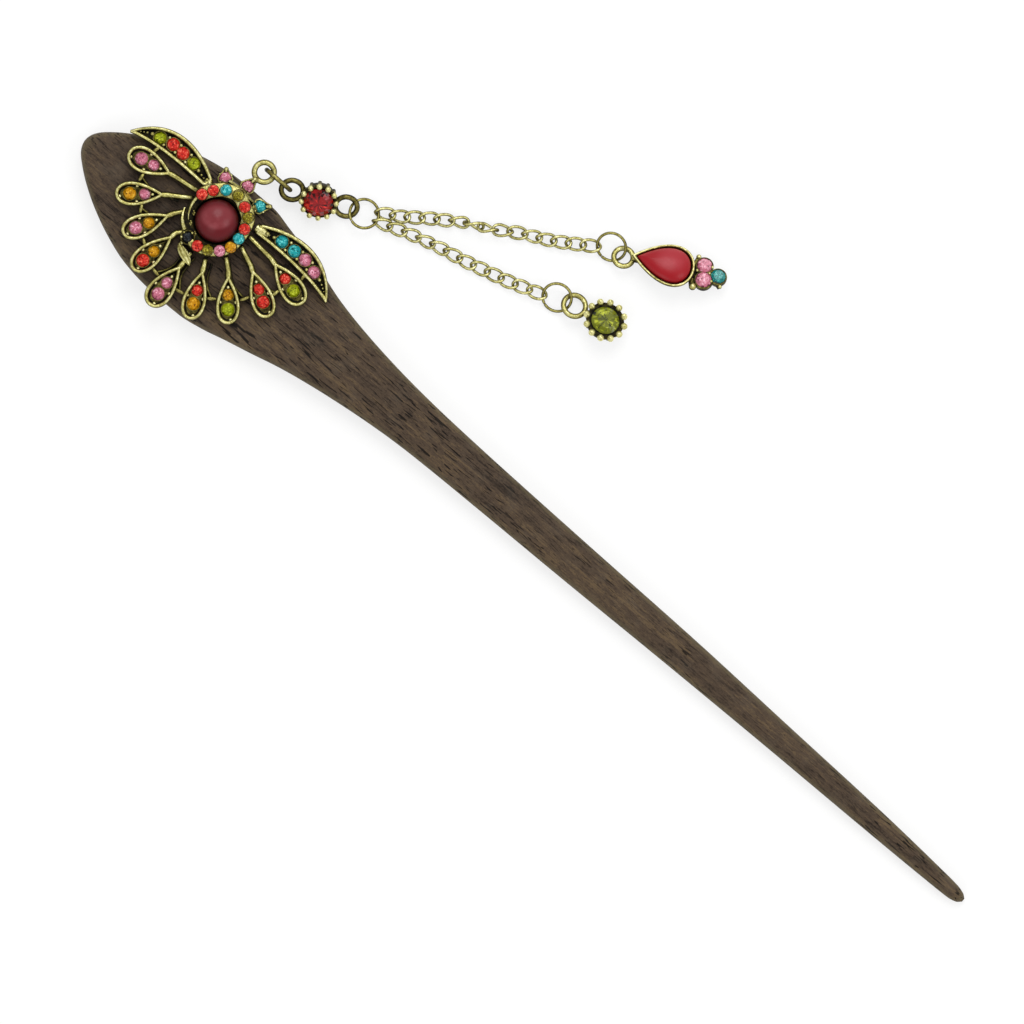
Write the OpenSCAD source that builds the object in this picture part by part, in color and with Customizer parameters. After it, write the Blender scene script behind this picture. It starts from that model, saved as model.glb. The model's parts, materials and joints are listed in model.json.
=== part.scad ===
// Hair stick of flat wood with a cast peacock fan, a forked chain and two pendants.
// It lies on its flat underside, with the chain laid out beside it on the same surface.
// X runs from the head to the tip, Y across towards the chain, Z up from the underside.

/* [Stick] */
// Length of the stick
stick_l = 180; // [150:1:210]
// Width at the widest place, under the ornament
stick_w = 22.2; // [21:0.1:26]
// Thickness of the flat head
stick_t = 4; // [3:0.1:6]
// Distance from the blunt end to the widest place
head_l = 25; // [20:0.5:32]
// Rounding of the long edges
edge_r = 1.1; // [0.4:0.1:1.4]

/* [Peacock casting] */
// Thickness of the plate at the bottom of the casting
plate_t = 0.8; // [0.5:0.1:1.5]
// Height of the feather and wing rims above that plate
rim_h = 0.9; // [0.6:0.1:1.4]
// Width of the feather and wing rims
rim_w = 0.45; // [0.3:0.05:0.6]
// Height of the body ring above the feather rims
body_h = 0.75; // [0.75:0.05:1.6]
// Width of the body ring, outside
body_w = 10.2; // [9.8:0.1:11]
// Length of the body ring, outside, along Y
body_l = 11.9; // [11.5:0.1:13]
// Reach of the beak's tip from the eye, along Y
beak_l = 3.1; // [2.8:0.1:3.4]
// Radius of the circle that the inner ends of the feathers lie near
fan_r = 9; // [8.8:0.1:10]
// Length of a feather
feather_l = 8; // [7.4:0.1:8.6]
// Width of a feather
feather_w = 3.9; // [3.7:0.1:4.2]
// Length of a wing, from the body to its tip
wing_l = 15.2; // [14:0.1:17]
// Width of the stems and bridges
stem_w = 0.6; // [0.4:0.05:0.8]
// Radius of the small metal beads that hold the stones
bead_r = 0.27; // [0.2:0.01:0.32]

/* [Stones] */
// Radius of the outer stone in a feather, and of the wing stones
stone_r = 1; // [0.8:0.05:1.1]
// Radius of the inner stone in a feather, and of the crown stones
small_stone_r = 0.87; // [0.7:0.01:0.95]
// Radius of the stones round the body
body_stone_r = 0.88; // [0.7:0.01:0.95]
// Height of a stone above its girdle
stone_h = 0.45; // [0.3:0.05:0.7]
// Depth of a stone below its girdle
stone_d = 0.5; // [0.3:0.05:0.55]
// Radius of the round cabochon
cabochon_r = 3.2; // [2.8:0.05:3.35]
// Height of the cabochon above the body ring
cabochon_h = 2; // [1:0.1:2.8]

/* [Chain] */
// Radius of the wire in the chain links
link_wire_r = 0.2; // [0.14:0.01:0.2]
// Length of a link, outside
link_l = 3.52; // [3.45:0.01:3.6]
// Width of a link, outside
link_w = 2.24; // [2.1:0.01:2.4]
// Radius of the wire in the three small jump rings
ring_wire_r = 0.2; // [0.14:0.01:0.22]
// Outside radius of those jump rings
ring_out_r = 2.47; // [2.42:0.01:2.52]
// Radius of the wire in the jump ring at the crown
crown_wire_r = 0.33; // [0.25:0.01:0.35]

/* [Connector and pendants] */
// Radius of the bars of the cast loops
loop_bar_r = 0.42; // [0.35:0.01:0.44]
// Radius of the connector's stone
connector_stone_r = 2.25; // [2:0.05:2.3]
// Height of the connector's cup
connector_h = 2.5; // [2:0.1:2.8]
// Radius of the round pendant's stone
round_stone_r = 2.15; // [1.9:0.05:2.25]
// Height of the round pendant's cup
round_h = 2.3; // [2:0.1:2.6]
// Length of the drop pendant's setting
drop_l = 9.7; // [9:0.1:10.2]
// Width of the drop pendant's setting
drop_w = 6.9; // [6.4:0.1:7.2]
// Height of the drop pendant's setting
drop_h = 1.9; // [1.6:0.1:2.3]
// Thickness of the wall round the drop
drop_wall = 0.35; // [0.25:0.05:0.5]

/* [Hidden] */
FEATHER_STONES = 18;
WING_STONES = 8;
CROWN_STONES = 3;
$fn = 48;

// Clearance between a stone and its seat, and between loose pieces
gap = 0.1;
// Glue line between the wood and the casting
glue = 0.05;

WOOD = "#54463a";
BRASS = "#b5a86a";
LIME = "#9aa51e";
RED = "#e0322c";
PINK = "#dd7f9d";
AMBER = "#d99a1c";
AQUA = "#35b5c4";
TEAL = "#1d8a84";
JET = "#1c2026";
BURGUNDY = "#6b2a33";
CRIMSON = "#b02a30";
RUBY = "#c0262a";

// Stick sections: along is a share of the length, the widths are shares of half the stick's width
// on the two sides, and thick is a share of the thickness.
//   along,  near,  far,   thick
STICK_SECTIONS = [
    [0.000, 0.080, 0.100, 0.55],
    [0.004, 0.165, 0.180, 0.72],
    [0.010, 0.265, 0.285, 0.84],
    [0.026, 0.460, 0.480, 0.95],
    [0.048, 0.662, 0.676, 1.00],
    [0.070, 0.815, 0.820, 1.00],
    [0.093, 0.930, 0.922, 1.00],
    [0.115, 0.982, 0.982, 1.00],
    [0.138, 1.000, 1.000, 1.00],
    [0.160, 0.991, 1.000, 1.00],
    [0.182, 0.932, 0.935, 1.00],
    [0.204, 0.838, 0.856, 1.00],
    [0.227, 0.748, 0.770, 1.00],
    [0.255, 0.631, 0.640, 1.00],
    [0.282, 0.545, 0.552, 0.99],
    [0.310, 0.473, 0.486, 0.97],
    [0.338, 0.414, 0.436, 0.95],
    [0.366, 0.369, 0.401, 0.93],
    [0.394, 0.342, 0.378, 0.91],
    [0.450, 0.315, 0.351, 0.88],
    [0.562, 0.275, 0.320, 0.83],
    [0.673, 0.225, 0.297, 0.78],
    [0.785, 0.185, 0.243, 0.72],
    [0.896, 0.156, 0.189, 0.65],
    [0.965, 0.130, 0.132, 0.58],
    [0.988, 0.115, 0.105, 0.50],
    [0.996, 0.085, 0.072, 0.38],
    [1.000, 0.030, 0.025, 0.20]];

// Centre of the peacock's body
body_x = -1.3;
body_y = 3.85;

// Feathers: at and reach place the inner point round the body, reach as a share of fan_r; turn is the
// way that the feather points; long and wide are shares of a feather's size; inner and outer place the
// two stones along it; root is where its stem meets the body.
//   at,  reach, turn,  long,  wide,  inner, outer, root, colours
FEATHERS = [
    [175, 1.10, 193.0, 0.970, 1.050, 0.420, 0.700, 161, PINK, PINK],
    [194, 0.99, 218.5, 0.985, 0.990, 0.410, 0.710, 176, PINK, AMBER],
    [213, 0.80, 241.5, 1.020, 0.975, 0.445, 0.715, 203, AMBER, PINK],
    [239, 0.79, 260.6, 1.040, 1.010, 0.470, 0.735, 240, AMBER, RED],
    [272, 0.98, 271.8, 1.000, 1.055, 0.437, 0.712, 271, PINK, PINK],
    [295, 0.87, 295.0, 1.010, 0.985, 0.417, 0.680, 293, RED, AMBER],
    [323, 0.94, 310.0, 0.975, 0.975, 0.410, 0.700, 326, AMBER, LIME],
    [347, 1.02, 329.6, 1.005, 0.975, 0.417, 0.675, 356, RED, RED],
    [365, 1.20, 345.4, 1.005, 1.025, 0.395, 0.680, 378, RED, LIME]];

// Bridges between neighbours: at and reach as above, near the rims that they join
//   at,  reach
BRIDGES = [
    [171, 1.61], [190.5, 1.50], [211, 1.32], [237.5, 1.30], [261, 1.37],
    [283, 1.37], [307, 1.34], [330.5, 1.42], [350, 1.60], [368, 1.77]];

// Stones round the body: at is the angle and reach is a share of half the body's length
//   at,  reach, colour
BODY_STONES = [
    [160.0, 0.790, RED], [137.5, 0.795, RED], [114.0, 0.835, AQUA], [90.5, 0.865, LIME],
    [67.0, 0.810, RED], [46.5, 0.820, LIME], [24.0, 0.755, RED], [1.5, 0.735, AQUA],
    [-21.5, 0.780, AMBER], [-44.0, 0.785, PINK], [-67.0, 0.800, LIME], [-87.0, 0.825, RED]];
EYE_AT = -109.5;
EYE_REACH = 0.87;
EYE_R = 0.8;

// Crown points: at and reach of the stone, lean is the way that the point looks, tip is its length
//   at, reach, lean, tip, colour
CROWN = [
    [119.7, 1.14, 125, 1.35, PINK],
    [89.0, 1.20, 86, 1.60, PINK],
    [59.5, 1.18, 40, 1.55, AQUA]];
CROWN_LOOP_R = 1.53;

// Wing stones: along and lift are shares of the wing's length
//   along, lift
WING_STONES_AT = [[0.266, 0.056], [0.422, 0.065], [0.560, 0.070], [0.708, 0.032]];
WING_COLOURS = [[LIME, RED, RED, LIME], [AQUA, AQUA, PINK, PINK]];
// Wings: side, root x and root y from the body's centre, share of the wing's length
WINGS = [[-1, -4.6, 3.50, 0.97], [1, 5.6, 3.30, 1.02]];
wing_root_w = 1.7;

// Routes of the two chains, from the fork ring outwards
LONG_ROUTE = [[17.6, 21.77], [20, 23.2], [23.4, 25.8], [27.5, 28.6], [31.2, 30.5], [35.4, 33.2],
              [39.3, 35.2], [41.6, 36.6], [44.94, 38.86]];
SHORT_ROUTE = [[18.33, 20.28], [21.9, 21.7], [26.9, 23.2], [31.7, 24.3], [38.5, 26.2], [43.37, 27.92]];
// Links from the fork ring outwards: roll turns a link about the chain, in degrees, and lift is the
// height by which it rides up off the surface
//   roll, lift
LONG_LINKS = [
    [24, 0.03], [22, 0], [10, 0.19], [16, 0], [14, 0], [42, 0], [78, 0], [118, 0], [152, 0], [180, 0],
    [209, 0], [199, 0.08], [194, 0.19], [185, 0.27], [175, 0.32]];
SHORT_LINKS = [
    [40, 0.18], [24, 0.33], [30, 0.2], [37, 0], [31, 0], [25, 0], [19, 0], [13, 0.04], [7, 0.05],
    [0, 0.1], [-9, 0.06], [-2, 0.38]];
LINK_TWIST = -42;
LINK_STEPS = 16;
LINK_SIDES = 6;
LINK_BLUNT = 0.75;

// Jump rings: centre, then turns about X and Y
CROWN_RING_AT = [1.72, 14.9, 3.6];
crown_ring_r = 2.4;
FORK_RING_AT = [15.15, 19.65, 1.1];
FORK_RING_TURN = [-12, 0];
DROP_RING_AT = [47.5, 40.85, 1.36];
DROP_RING_TURN = [22.3, 4.3];
ROUND_RING_AT = [46.25, 29.4, 1.27];
ROUND_RING_TURN = [21, 4.35];

// Connector: middle, heading, pitch and roll, loops at both ends
CONNECTOR_AT = [8.5, 16.65, 2.35];
CONNECTOR_TURN = [28, 6, 23.9];
connector_loop_x = 4.4;
connector_loop_r = 1.7;
// Drop pendant: its loop, then roll, pitch and heading
DROP_AT = [49.95, 40.85, 1.2];
DROP_TURN = [-22, 0, 26.2];
drop_loop_r = 1.5;
// Round pendant: its loop, then roll, pitch and heading
ROUND_AT = [49.15, 30.2, 1.22];
ROUND_TURN = [-22.6, 0, 9];
round_loop_r = 1.75;
round_x = 5.25;
// Stones on the end of the drop, from its loop: x, y, radius share, colour
DROP_STONES = [[12.5, 1.62, 1.0, PINK], [12.9, -0.75, 1.06, PINK], [14.95, 0.4, 0.98, TEAL]];
DROP_BEADS = [[11.3, 2.85, 1.3], [11.5, -2.2, 1.7], [15.6, -1.1, 1.1]];
drop_stone_r = 1.17;
PRONGS = 12;
prong_r = 0.37;
loop_drop = 0.6;
round_base = 0.15;
drop_lift = 0.12;
drop_floor = 0.4;

// Heights of the casting's layers, and the amount by which each layer draws in from the one below
cast_z = stick_t + glue;
seat_t = 0.25;
seat_z = cast_z + seat_t;
floor_z = cast_z + plate_t;
rim_z = floor_z + rim_h;
body_z = rim_z + body_h;
step = 0.02;

function at(angle, reach) = [body_x + reach * cos(angle), body_y + reach * sin(angle)];
function power(v, p) = sign(v) * pow(abs(v), p);
function bezier(a, b, c, d, t) =
    a * pow(1 - t, 3) + b * 3 * t * pow(1 - t, 2) + c * 3 * t * t * (1 - t) + d * t * t * t;

// Outline of a drop with its point at the origin and its round end along +X
function drop_outline(l, w, n = 28) =
    [for (k = [0:n - 1]) let (t = 360 * k / n)
        [l * (1 - cos(t)) / 2, w / 2 / 0.7698 * sin(t) * sin(t / 2)]];

function feather_l(f) = feather_l * f[3];
function feather_w(f) = feather_w * f[4];
function feather_point(f) = at(f[0], fan_r * f[1]);

// Reach of the body ring's edge from its middle, at an angle
function body_reach(a) = body_w * body_l / 4 / norm([body_l / 2 * cos(a), body_w / 2 * sin(a)]);

// Wing outline from its root, tip along +X, back along its lower edge
function wing_outline(l, n = 14) = concat(
    [for (k = [0:n]) bezier([0, 0.5 * wing_root_w], [0.3 * l, 2.12 * wing_root_w],
        [0.73 * l, 2.82 * wing_root_w], [l, -0.94 * wing_root_w], k / n)],
    [for (k = [0:n]) bezier([0.985 * l, -1.14 * wing_root_w], [0.74 * l, -0.44 * wing_root_w],
        [0.39 * l, -0.32 * wing_root_w], [0, -0.5 * wing_root_w], k / n)]);

module in_feather(f) translate(feather_point(f)) rotate(f[2]) children();
module in_wing(w) translate([body_x + w[1], body_y + w[2]]) mirror([w[0] < 0 ? 1 : 0, 0]) children();

// A layer cut from one joined outline, from z up to top, drawn in all round by inset
module layer(z, top, inset = 0.001)
    translate([0, 0, z]) linear_extrude(top - z) offset(delta = -inset) union() children();

// A bar with round ends in the plane, from a to b, wa wide at a and wb wide at b
module taper(a, b, wa, wb) translate(a) rotate(atan2(b[1] - a[1], b[0] - a[0])) polygon(concat(
    [for (k = [0:8]) wa / 2 * [cos(90 + 22.5 * k), sin(90 + 22.5 * k)]],
    [for (k = [0:8]) [norm(b - a), 0] + wb / 2 * [cos(22.5 * k - 90), sin(22.5 * k - 90)]]));
module bar(a, b, w) taper(a, b, w, w);

// Stick
// One section of the stick as a rounded rectangle: near side, far side and top
function section(near, far, top, n = 3) =
    let (r = min(edge_r, 0.48 * top, 0.7 * min(near, far)))
    let (corners = [[far - r, r, -90], [far - r, top - r, 0], [r - near, top - r, 90], [r - near, r, 180]])
    [for (c = corners) for (k = [0:n]) let (a = c[2] + 90 * k / n) [c[0] + r * cos(a), c[1] + r * sin(a)]];

module stick() {
    sunk = 0.15;
    rings = [for (s = STICK_SECTIONS)
        [for (p = section(s[1] * stick_w / 2, s[2] * stick_w / 2, s[3] * stick_t + sunk))
            [s[0] * stick_l - head_l, p[0], p[1] - sunk]]];
    color(WOOD) difference() {
        tube(rings);
        translate([-head_l - 1, -stick_w, -2]) cube([stick_l + 2, 2 * stick_w, 2]);
    }
}

// A closed skin over rings of points, each ring with as many points
module tube(rings) {
    n = len(rings[0]);
    last = len(rings) - 1;
    polyhedron(
        points = [for (ring = rings) for (p = ring) p],
        faces = concat(
            [[for (k = [0:n - 1]) k]],
            [for (i = [0:last - 1]) for (k = [0:n - 1]) let (m = (k + 1) % n)
                each [[i * n + k, (i + 1) * n + k, (i + 1) * n + m], [i * n + k, (i + 1) * n + m, i * n + m]]],
            [[for (k = [n - 1:-1:0]) last * n + k]]));
}

// Peacock
module body_outline() translate([body_x, body_y])
    polygon([for (k = [0:47]) [body_w / 2 * cos(7.5 * k), body_l / 2 * sin(7.5 * k)]]);

module head_outline() {
    eye = at(EYE_AT, EYE_REACH * body_l / 2);
    translate(eye) circle(r = EYE_R + 0.42, $fn = 24);
    polygon(concat([at(201, 0.80 * body_l / 2), at(200, 0.86 * body_l / 2)],
        [for (p = [[-1.81, 0.25], [-0.375, -1.625], [0.75, 1]]) eye + EYE_R * p]));
}

module beak_outline() {
    eye = at(EYE_AT, EYE_REACH * body_l / 2);
    root = eye + beak_l * [-0.24, -0.40];
    tip = eye + beak_l * [0.95, -1.00];
    for (side = [[[0.065, -0.48], [0.71, -0.48]], [[0.16, -0.84], [0.52, -0.935]]])
        polygon([for (k = [0:8]) bezier(root, eye + beak_l * side[0], eye + beak_l * side[1], tip, k / 8)]);
    bar(eye + beak_l * [-0.065, -0.26], eye + beak_l * [-0.03, -0.52], 0.29 * beak_l);
}

module crown_point_outline(c) {
    stone = at(c[0], c[1] * body_l / 2);
    tip = stone + c[3] * [cos(c[2]), sin(c[2])];
    taper(stone, tip, 2 * small_stone_r + 0.72, 0.76);
    bar(stone, at(c[0], 0.8 * body_l / 2), 1.5);
}

module stems() for (f = FEATHERS) {
    bar(at(f[7], 0.92 * body_reach(f[7])), feather_point(f) + 0.4 * [cos(f[2]), sin(f[2])], stem_w);
}

module bridges() for (b = BRIDGES)
    translate(at(b[0], b[1] * fan_r)) rotate(b[0] + 90) square([1.5, stem_w], center = true);

module webs() for (k = [1:8])
    bar(at(BRIDGES[k][0], BRIDGES[k][1] * fan_r), at(BRIDGES[k][0] + (k < 5 ? 2 : -2), 0.5 * body_l), 0.3);

module stone_seats(extra) {
    for (k = [0:FEATHER_STONES - 1]) translate(feather_stone_at(k)) circle(r = feather_stone_r(k) + extra, $fn = 16);
    for (k = [0:WING_STONES - 1]) translate(wing_stone_at(k)) circle(r = wing_stone_r(k) + extra, $fn = 16);
    for (c = CROWN) translate(at(c[0], c[1] * body_l / 2)) circle(r = small_stone_r + extra, $fn = 16);
}

module feather_beads(f) {
    l = feather_l(f);
    w = feather_w(f);
    for (p = [[f[5] - 0.155, 0.0], [(f[5] + f[6]) / 2, 0.33], [(f[5] + f[6]) / 2, -0.33], [0.905, 0.12]])
        translate([p[0] * l, p[1] * w]) circle(r = bead_r, $fn = 8);
}

module wing_beads(l) {
    for (k = [0:2]) let (a = WING_STONES_AT[k], b = WING_STONES_AT[k + 1]) for (s = [-1, 1])
        translate([(a[0] + b[0]) / 2, (a[1] + b[1]) / 2] * l + [0, s * 0.72]) circle(r = bead_r, $fn = 8);
    for (p = [[0.18, 0.035, 1.2], [0.80, 0.012, 1.25], [0.115, 0.022, 0.9], [0.865, -0.022, 0.8]])
        translate([p[0], p[1]] * l) circle(r = bead_r * p[2], $fn = 8);
}

module rims() {
    for (f = FEATHERS) in_feather(f) difference() {
        polygon(drop_outline(feather_l(f), feather_w(f)));
        offset(delta = -rim_w) polygon(drop_outline(feather_l(f), feather_w(f)));
    }
    for (w = WINGS) in_wing(w) difference() {
        polygon(wing_outline(wing_l * w[3]));
        offset(delta = -rim_w) polygon(wing_outline(wing_l * w[3]));
    }
    for (f = FEATHERS) in_feather(f) feather_beads(f);
    for (w = WINGS) in_wing(w) wing_beads(wing_l * w[3]);
    for (c = CROWN) crown_point_outline(c);
    stems();
    bridges();
    webs();
    body_outline();
    head_outline();
    beak_outline();
}

// One casting in four layers: a whole plate, the plate with the seats open, the rims, and the body ring
module peacock_setting() color(BRASS) {
    layer(cast_z, seat_z) plate_outline();
    layer(seat_z, floor_z, step) difference() {
        plate_outline();
        stone_seats(gap);
    }
    layer(floor_z, rim_z, 2 * step) difference() {
        rims();
        stone_seats(gap);
        translate([body_x, body_y]) circle(r = cabochon_r + gap);
    }
    layer(rim_z, body_z, 3 * step) difference() {
        union() {
            body_outline();
            head_outline();
        }
        translate([body_x, body_y]) circle(r = cabochon_r + gap);
        for (k = [0:len(BODY_STONES) - 1]) translate(body_stone_at(k)) circle(r = body_stone_r + gap, $fn = 16);
        translate(at(EYE_AT, EYE_REACH * body_l / 2)) circle(r = EYE_R + gap, $fn = 16);
    }
    crown_loop();
}

module plate_outline() {
    for (f = FEATHERS) in_feather(f) polygon(drop_outline(feather_l(f), feather_w(f)));
    for (w = WINGS) in_wing(w) polygon(wing_outline(wing_l * w[3]));
    for (c = CROWN) crown_point_outline(c);
    stems();
    bridges();
    webs();
    body_outline();
    head_outline();
    beak_outline();
}

crown_loop_z = cast_z + 0.5;
CROWN_LOOP_AT = [-0.7, 14.35];
module crown_loop() {
    translate([CROWN_LOOP_AT[0], CROWN_LOOP_AT[1], crown_loop_z]) torus(CROWN_LOOP_R, loop_bar_r + 0.03);
    top = CROWN[1];
    tip = at(top[0], top[1] * body_l / 2) + [0, top[3]];
    layer(crown_loop_z - 0.3, crown_loop_z + 0.35) bar(tip, CROWN_LOOP_AT - [0, CROWN_LOOP_R], 1.1);
}

// Stones

function feather_stone_at(k) =
    let (f = FEATHERS[floor(k / 2)], s = k % 2 == 0 ? f[5] : f[6])
    feather_point(f) + s * feather_l(f) * [cos(f[2]), sin(f[2])];
function feather_stone_r(k) = k % 2 == 0 ? small_stone_r : stone_r;
function wing_stone_at(k) =
    let (w = WINGS[floor(k / 4)], s = WING_STONES_AT[k % 4], l = wing_l * w[3])
    [body_x + w[1] + w[0] * s[0] * l, body_y + w[2] + s[1] * l];
function wing_stone_r(k) = k % 4 == 3 ? 0.95 * stone_r : stone_r;
function body_stone_at(k) = at(BODY_STONES[k][0], BODY_STONES[k][1] * body_l / 2);

// A round cut stone on its girdle: a table, a crown, a thin girdle and a pavilion with a small culet
module cut_stone(r, up = stone_h, down = stone_d, sides = 8) {
    girdle = 0.12;
    translate([0, 0, girdle / 2]) cylinder(r1 = r, r2 = 0.6 * r, h = up - girdle / 2, $fn = sides);
    translate([0, 0, -girdle / 2]) cylinder(r = r, h = girdle, $fn = sides);
    translate([0, 0, -down]) cylinder(r1 = 0.3 * r, r2 = r, h = down - girdle / 2, $fn = sides);
}

module stone_in_plate(p, r) translate([p[0], p[1], seat_z + gap + stone_d]) cut_stone(r);

module feather_stone(k) color(FEATHERS[floor(k / 2)][8 + k % 2])
    stone_in_plate(feather_stone_at(k), feather_stone_r(k));
module wing_stone(k) color(WING_COLOURS[floor(k / 4)][k % 4]) stone_in_plate(wing_stone_at(k), wing_stone_r(k));
module crown_stone(k) color(CROWN[k][4])
    stone_in_plate(at(CROWN[k][0], CROWN[k][1] * body_l / 2), small_stone_r);
module body_stones() for (k = [0:len(BODY_STONES) - 1]) color(BODY_STONES[k][2])
    translate([body_stone_at(k)[0], body_stone_at(k)[1], rim_z + gap + stone_d])
        cut_stone(body_stone_r);
module eye_stone() color(JET) translate([at(EYE_AT, EYE_REACH * body_l / 2)[0],
    at(EYE_AT, EYE_REACH * body_l / 2)[1], rim_z + gap + stone_d]) cut_stone(EYE_R);

// A dome on a short cylinder: the sphere's radius follows from the dome's width and height
module cabochon() {
    ball_r = (cabochon_r * cabochon_r + cabochon_h * cabochon_h) / (2 * cabochon_h);
    base_z = floor_z + gap;
    color(BURGUNDY) translate([body_x, body_y, 0]) rotate_extrude() intersection() {
        union() {
            translate([0, base_z]) square([cabochon_r, body_z - base_z + 0.01]);
            translate([0, body_z + cabochon_h - ball_r]) circle(r = ball_r);
        }
        translate([0, base_z]) square([cabochon_r, body_z + cabochon_h - base_z]);
    }
}

// Rings and chain
module torus(r, bar) rotate_extrude() translate([r, 0]) circle(r = bar, $fn = 24);

module jump_ring(where, turn) color(BRASS) translate(where) rotate([turn[0], turn[1], 0])
    torus(ring_out_r - ring_wire_r, ring_wire_r);

module crown_ring() color(BRASS) translate(CROWN_RING_AT) rotate([90, 0, 0]) torus(crown_ring_r, crown_wire_r);

// Middle line of one link: a blunt oval whose ends are turned against each other
function link_point(t, roll) =
    let (along = power(cos(t), LINK_BLUNT))
    let (across = (link_w / 2 - link_wire_r) * power(sin(t), 1))
    let (turn = LINK_TWIST * along + roll)
    [(link_l / 2 - link_wire_r) * along, across * cos(turn), across * sin(turn)];
function link_up(t, roll) =
    let (turn = LINK_TWIST * power(cos(t), LINK_BLUNT) + roll) [0, -sin(turn), cos(turn)];
function unit(v) = v / norm(v);
function link_ring(t, roll) =
    let (p = link_point(t, roll))
    let (way = unit(link_point(t + 2, roll) - link_point(t - 2, roll)))
    let (side = unit(cross(way, link_up(t, roll))), up = cross(side, way))
    [for (k = [0:LINK_SIDES - 1]) let (a = 360 * (k + 0.5) / LINK_SIDES)
        p + link_wire_r * (cos(a) * side + sin(a) * up)];

// Height of a rolled link's middle when it lies on the surface
function link_rest(roll) = link_wire_r + 0.02 + max([for (k = [0:35]) link_point(10 * k, roll)[2]]);

module link(roll) {
    rings = [for (k = [0:LINK_STEPS - 1]) link_ring(360 * k / LINK_STEPS, roll)];
    n = LINK_SIDES;
    polyhedron(
        points = [for (ring = rings) for (p = ring) p],
        faces = [for (i = [0:LINK_STEPS - 1]) for (k = [0:n - 1])
            let (j = (i + 1) % LINK_STEPS, m = (k + 1) % n)
            each [[i * n + k, j * n + m, j * n + k], [i * n + k, i * n + m, j * n + m]]]);
}

// Length of a route up to its point k, and the place at a length s along it
function reach(route, k) = k == 0 ? 0 : norm(route[k] - route[k - 1]) + reach(route, k - 1);
function place(route, s, k = 1) =
    k < len(route) - 1 && s > reach(route, k) ? place(route, s, k + 1)
    : let (a = reach(route, k - 1), b = reach(route, k))
      route[k - 1] + (route[k] - route[k - 1]) * (s - a) / (b - a);
function link_place(route, count, i) = place(route, reach(route, len(route) - 1) * i / (count - 1));

module chain(route, links) {
    n = len(links);
    color(BRASS) for (i = [0:n - 1]) {
        here = link_place(route, n, i);
        way = link_place(route, n, min(i + 1, n - 1)) - link_place(route, n, max(i - 1, 0));
        translate([here[0], here[1], link_rest(links[i][0]) + links[i][1]])
            rotate(atan2(way[1], way[0])) link(links[i][0]);
    }
}
module long_chain() chain(LONG_ROUTE, LONG_LINKS);
module short_chain() chain(SHORT_ROUTE, SHORT_LINKS);

// Connector and pendants
// A cup with leaning prongs round a stone, from z = -base upwards, with the stone's seat open at the top
module pronged_cup(r, h, base) {
    wall = 0.45;
    lean = 13;
    difference() {
        union() {
            translate([0, 0, -base]) cylinder(r1 = 0.86 * (r + wall), r2 = r + wall, h = 0.72 * h);
            for (k = [0:PRONGS - 1]) rotate(360 * (k + 0.5) / PRONGS)
                translate([r - 0.02, 0, -base + 0.1]) rotate([0, lean, 0]) cylinder(r = prong_r, h = h, $fn = 24);
        }
        translate([0, 0, cup_seat_z(h, base)]) cylinder(r = r + gap, h = 2 * h);
    }
}
function cup_seat_z(h, base) = 0.3 * h - base;
module cup_stone(r, h, base) {
    down = 0.35 * h;
    translate([0, 0, cup_seat_z(h, base) + gap + down]) cut_stone(r, 0.3 * r, down, 12);
}

module in_connector() translate(CONNECTOR_AT) rotate(CONNECTOR_TURN) children();
module connector_setting() color(BRASS) in_connector() {
    pronged_cup(connector_stone_r, connector_h, connector_h / 2);
    for (s = [-1, 1]) translate([s * connector_loop_x, 0, -loop_drop]) torus(connector_loop_r, loop_bar_r);
}
module connector_stone() color(RUBY) in_connector() cup_stone(connector_stone_r, connector_h, connector_h / 2);

module in_round() translate(ROUND_AT) rotate(ROUND_TURN) children();
module round_setting() color(BRASS) in_round() {
    torus(round_loop_r, loop_bar_r);
    translate([round_x, 0, 0]) pronged_cup(round_stone_r, round_h, round_base);
    translate([round_loop_r, -0.55, 0]) cube([round_x - round_loop_r - 0.9 * round_stone_r, 1.1, 0.36]);
}
module round_stone() color(LIME) in_round()
    translate([round_x, 0, 0]) cup_stone(round_stone_r, round_h, round_base);

// The drop pendant: a walled drop on a floor, with a small plate of stones at its round end
drop_top = drop_lift + drop_h;
drop_seat_z = drop_lift + drop_floor;
module in_drop() translate(DROP_AT) rotate(DROP_TURN) children();
module drop_shape(inset = 0) translate([drop_loop_r, 0]) offset(delta = -inset)
    polygon(drop_outline(drop_l, drop_w));
module cluster_outline() {
    hull() for (s = DROP_STONES) translate([s[0], s[1]]) circle(r = drop_stone_r * s[2] + 0.25, $fn = 24);
    for (b = DROP_BEADS) bar([b[0], b[1]], [drop_loop_r + drop_l - 0.6 + 0.9 * (b[0] - 11), 0.4 * b[1]], 2 * bead_r * b[2]);
}
module drop_setting() color(BRASS) in_drop() {
    torus(drop_loop_r, loop_bar_r);
    layer(drop_lift, drop_seat_z) {
        drop_shape();
        cluster_outline();
        bar([drop_loop_r - 0.1, 0], [drop_loop_r + 1.5, 0], 0.9);
    }
    layer(drop_seat_z, drop_top, step) difference() {
        drop_shape();
        drop_shape(drop_wall);
    }
    layer(drop_seat_z, drop_seat_z + 0.75, 2 * step) difference() {
        cluster_outline();
        for (s = DROP_STONES) translate([s[0], s[1]]) circle(r = drop_stone_r * s[2] + gap, $fn = 16);
        drop_shape(drop_wall / 2);
    }
}
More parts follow.
